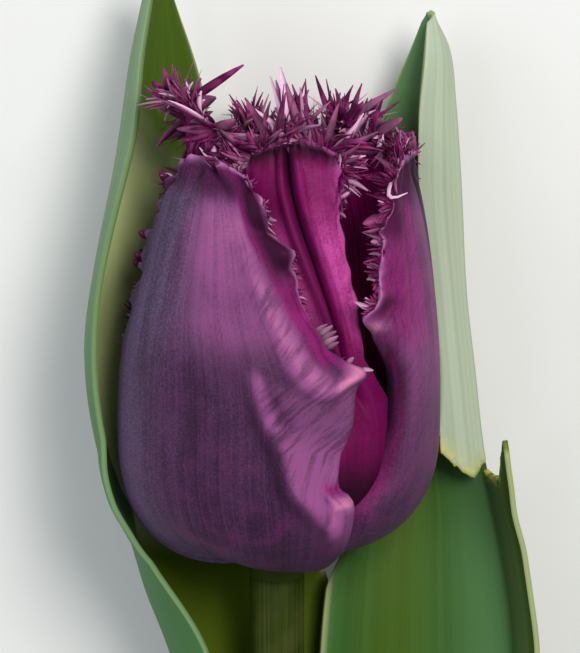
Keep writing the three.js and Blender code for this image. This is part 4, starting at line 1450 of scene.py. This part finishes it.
def leaf_blade(name, leaf, inside_out):
    bm, layers = blade_grid(LEAF_COLUMNS, LEAF_ROWS, ("torn", "rim", *LEAF_TINTS))
    torn, rim, *tints = layers
    parts = {}
    for vertex in bm.verts:
        u, row = vertex.co.x, round((vertex.co.y + 1) / 2 * LEAF_ROWS)
        z, part = torn_height(leaf, u, row)
        z -= TIP_ROUNDING * u * u * ease(leaf["tip"] - 9, leaf["tip"], z)
        vertex[rim] = 0.7 * ease(0.96, 1, u) + leaf["near_rim"] * ease(0.975, 1, -u)
        for layer, value in zip(tints, leaf["tints"](u, z)):
            vertex[layer] = value
        if "flap" in leaf and u < 0:
            vertex[torn] = torn_tint(leaf, u, z, part)
        vertex.co = leaf_point(leaf, u, z, part)
        parts[vertex] = part
    split = [f for f in bm.faces if {"flap", "near"} <= {parts[v] for v in f.verts}]
    bmesh.ops.delete(bm, geom=split, context="FACES")
    if inside_out:
        bmesh.ops.reverse_faces(bm, faces=bm.faces)
    faces = [leaf_outside, leaf_inside]
    finished_piece(name + "_blade", bm, faces, name, LEAF_THICKNESS)


leaf_blade("leaf_left", LEFT_LEAF, inside_out=True)
leaf_blade("leaf_right", RIGHT_LEAF, inside_out=False)
print("leaves: 2")

# %% [markdown]
# ## Stem and seat
#
# The stem is a round stalk that sags to the table at its cut end and widens into the seat of the
# petals. A cone with many rings is bent along the stem's line, and the seat is spun round the axis.

# %% Stem finish


def stem_finish():
    f = Finish("stem", 0.5)
    ribs, clouds = f.streaks(40, 3, detail=3), f.speckle(6, 2)
    body = f.mix(f.between(ribs, 0.3, 0.7), chart(34, 44, 6), chart(54, 66, 18))
    f.colour(f.mix(f.times(f.between(clouds, 0.45, 0.7), 0.25), body, chart(84, 84, 44)))
    f.relief(ribs)
    return f.material


stem_material = stem_finish()
print("stem finish:", stem_material.name)

# %% Build the stem
STEM_RADIUS = 4
STEM_SIDES = 32
STEM_RINGS = 90
CUT_END_HEIGHT = -160
STALK_TOP = -4
SEAT_SIDES = 48
SEAT_PROFILE = [
    (3.7, -7), (4, -3.8), (4.1, -2.5), (4.6, -1.6), (5.3, -0.4), (5.35, 3.2), (4.95, 4.3), (4.4, 5),
    (0, 5),
]


def spin_profile(bm, profile, steps):
    """Spins knots of radius and height once round the axis and closes the seam."""
    line = [bm.verts.new((r, 0, z)) for r, z in profile]
    chain = [bm.edges.new(pair) for pair in zip(line, line[1:])]
    bmesh.ops.spin(
        bm,
        geom=line + chain,
        cent=(0, 0, 0),
        axis=(0, 0, 1),
        angle=2 * math.pi,
        steps=steps,
        use_merge=True,
    )
    bmesh.ops.remove_doubles(bm, verts=bm.verts, dist=0.001)


def stem_piece():
    bm = bmesh.new()
    uv = bm.loops.layers.uv.new("UVMap")
    bmesh.ops.create_cone(
        bm,
        cap_ends=True,
        segments=STEM_SIDES,
        radius1=STEM_RADIUS,
        radius2=STEM_RADIUS,
        depth=1,
    )
    sides = [e for e in bm.edges if abs(e.verts[0].co.z - e.verts[1].co.z) > 0.5]
    bmesh.ops.subdivide_edges(bm, edges=sides, cuts=STEM_RINGS)
    for face in bm.faces:
        for loop in face.loops:
            x, y, z = loop.vert.co
            loop[uv].uv = (abs(math.atan2(y, x)) / math.pi, z + 0.5)
    for vertex in bm.verts:
        x, y, share = vertex.co
        z = CUT_END_HEIGHT + (STALK_TOP - CUT_END_HEIGHT) * (share + 0.5)
        tilt = math.atan((along(STEM_LINE, z + 1) - along(STEM_LINE, z - 1)) / 2)
        depth = min(along(STEM_LINE, z) + y * math.cos(tilt), TABLE_DEPTH)
        vertex.co = Vector((x, depth, z - y * math.sin(tilt)))
    spin_profile(bm, SEAT_PROFILE, SEAT_SIDES)
    bmesh.ops.recalc_face_normals(bm, faces=bm.faces)
    finished_piece("stem_stalk", bm, [stem_material], "stem")


stem_piece()
print("stem length:", -CUT_END_HEIGHT, "mm")

# %% [markdown]
# ## Pistil and stamens
#
# Deep in the cup stand a three-sided ovary under three spreading lobes, and six stamens with long
# dark anthers. Little light reaches them, so they are shaped simply, but they have their own
# finishes.

# %% Pistil and stamen finishes


def heart_finish(name, dark, light, grain_mm, depth_mm, roughness):
    f = Finish(name, roughness)
    grain = f.speckle(grain_mm)
    f.colour(f.mix(f.between(grain, 0.35, 0.65), dark, light))
    f.relief(grain, depth_mm)
    return f.material


pistil_material = heart_finish(
    "pistil", chart(150, 160, 96), chart(196, 200, 136), 1.2, 0.1, 0.5
)
anther_material = heart_finish("anther", chart(22, 10, 26), chart(58, 34, 60), 0.4, 0.15, 0.85)
print("finishes of the heart: 2")

# %% [markdown]
# The ovary is spun round the axis and swells on three sides. A flattened ball tops each side as a
# lobe of the stigma.

# %% Build the pistil
PISTIL_FOOT = SEAT_TOP + 0.3
OVARY_TOP = 20
OVARY_SIDES = 36
OVARY_SWELL = 0.13
OVARY_PROFILE = [
    (0, PISTIL_FOOT), (2, PISTIL_FOOT), (2.6, 8), (2.85, 12), (2.8, 15), (2.2, 20), (0, 20.5),
]
LOBE_COUNT = 3
LOBE_REACH = 2.2
LOBE_TILT = -0.35
LOBE_HALF_SIZE = (2.3, 1.2, 1.5, 1)


def pistil_piece():
    bm = bmesh.new()
    spin_profile(bm, OVARY_PROFILE, OVARY_SIDES)
    for vertex in bm.verts:
        swell = 1 + OVARY_SWELL * math.cos(3 * math.atan2(vertex.co.y, vertex.co.x))
        vertex.co.x *= swell
        vertex.co.y *= swell
    for k in range(LOBE_COUNT):
        lobe = (
            Matrix.Rotation(k * 2 * math.pi / LOBE_COUNT, 4, "Z")
            @ Matrix.Translation((LOBE_REACH, 0, OVARY_TOP + 1))
            @ Matrix.Rotation(LOBE_TILT, 4, "Y")
            @ Matrix.Diagonal(LOBE_HALF_SIZE)
        )
        bmesh.ops.create_uvsphere(bm, u_segments=16, v_segments=10, radius=1, matrix=lobe)
    bmesh.ops.recalc_face_normals(bm, faces=bm.faces)
    finished_piece("pistil_body", bm, [pistil_material], "pistil")


pistil_piece()
print("pistil height:", OVARY_TOP - PISTIL_FOOT, "mm")

# %% [markdown]
# A stamen is a tapered filament under a long anther, which a groove down its outer and inner face
# parts into two lobes. The six are the same, and stand evenly round the ovary.

# %% Build the stamens
STAMEN_COUNT = 6
STAMEN_START = 28
FILAMENT_FOOT = Vector((3.6, 0, PISTIL_FOOT + 0.1))
FILAMENT_TOP = Vector((6.4, 0, 14.5))
FILAMENT_RADII = (0.75, 0.4)
ANTHER_RISE = Vector((0.5, 0, 5))
ANTHER_TILT = 0.08
ANTHER_HALF_SIZE = (1, 1.4, 6, 1)
ANTHER_GROOVE = 0.25


def stamen_piece(number):
    azimuth = math.radians(STAMEN_START + (number - 1) * 360 / STAMEN_COUNT - 90)
    turn = Matrix.Rotation(azimuth, 4, "Z")
    rise = FILAMENT_TOP - FILAMENT_FOOT
    bm = bmesh.new()
    bmesh.ops.create_cone(
        bm,
        cap_ends=True,
        segments=12,
        radius1=FILAMENT_RADII[0],
        radius2=FILAMENT_RADII[1],
        depth=rise.length,
        matrix=turn
        @ Matrix.Translation((FILAMENT_FOOT + FILAMENT_TOP) / 2)
        @ rise.to_track_quat("Z", "Y").to_matrix().to_4x4(),
    )
    anther = (
        turn
        @ Matrix.Translation(FILAMENT_TOP + ANTHER_RISE)
        @ Matrix.Rotation(ANTHER_TILT, 4, "Y")
        @ Matrix.Diagonal(ANTHER_HALF_SIZE)
    )
    made = bmesh.ops.create_uvsphere(
        bm, u_segments=20, v_segments=16, radius=1, matrix=anther
    )
    back = anther.inverted()
    for vertex in made["verts"]:
        local = back @ vertex.co
        local.x *= 1 - ANTHER_GROOVE * hump(0, 0.25, local.y)
        vertex.co = anther @ local
    node = f"stamen_{number}"
    finished_piece(node + "_body", bm, [anther_material], node)


for number in range(1, STAMEN_COUNT + 1):
    stamen_piece(number)
print("stamens:", STAMEN_COUNT)

# %% [markdown]
# ## Table
#
# The table is a plain pale sheet under the flower. It isn't part of the flower, so it is not
# attached to the flower's body.

# %% Table
TABLE_HALF_SIDE = 2  # in metres
table_bm = bmesh.new()
bmesh.ops.create_grid(table_bm, x_segments=1, y_segments=1, size=TABLE_HALF_SIDE)
table_mesh = bpy.data.meshes.new("table")
table_bm.to_mesh(table_mesh)
table_bm.free()
table = bpy.data.objects.new("table", table_mesh)
bpy.context.scene.collection.objects.link(table)
paper = Finish("pale table", 0.7)
paper.colour(paper.mix(paper.speckle(40, 2), chart(222, 222, 220), chart(228, 228, 226)))
table.data.materials.append(paper.material)
print("table:", 2 * TABLE_HALF_SIDE, "m square")

# %% [markdown]
# ## Light
#
# A broad lamp stands above the flower, towards its tips and a little to the right, so the left
# flank of the cup falls into shade. A weak one and an even pale sky open the shadows.

# %% Light
LAMPS_AIM = Vector((0, 0, 30))
SKY_TINT = (0.9, 0.94, 1, 1)
SKY_STRENGTH = 0.36


def lamp(name, from_aim, size, watts, tint):
    """A square lamp. Where it stands and its size are in metres."""
    data = bpy.data.lights.new(name, "AREA")
    data.size = size
    data.energy = watts
    data.color = tint
    light = bpy.data.objects.new(name, data)
    bpy.context.scene.collection.objects.link(light)
    light.location = LAY_DOWN @ LAMPS_AIM + Vector(from_aim)
    light.rotation_euler = (-Vector(from_aim)).to_track_quat("-Z", "Y").to_euler()
    print(name, "lamp:", watts, "W")


lamp("key", (0.22, 0.27, 0.55), 0.26, 3.6, (1, 0.97, 0.93))
lamp("fill", (-0.4, 0.1, 0.5), 0.5, 1.4, (0.88, 0.94, 1))

world = bpy.data.worlds.new("studio")
world.use_nodes = True
sky = world.node_tree.nodes["Background"]
sky.inputs["Color"].default_value = SKY_TINT
sky.inputs["Strength"].default_value = SKY_STRENGTH
bpy.context.scene.world = world
bpy.context.scene.view_settings.view_transform = "Standard"
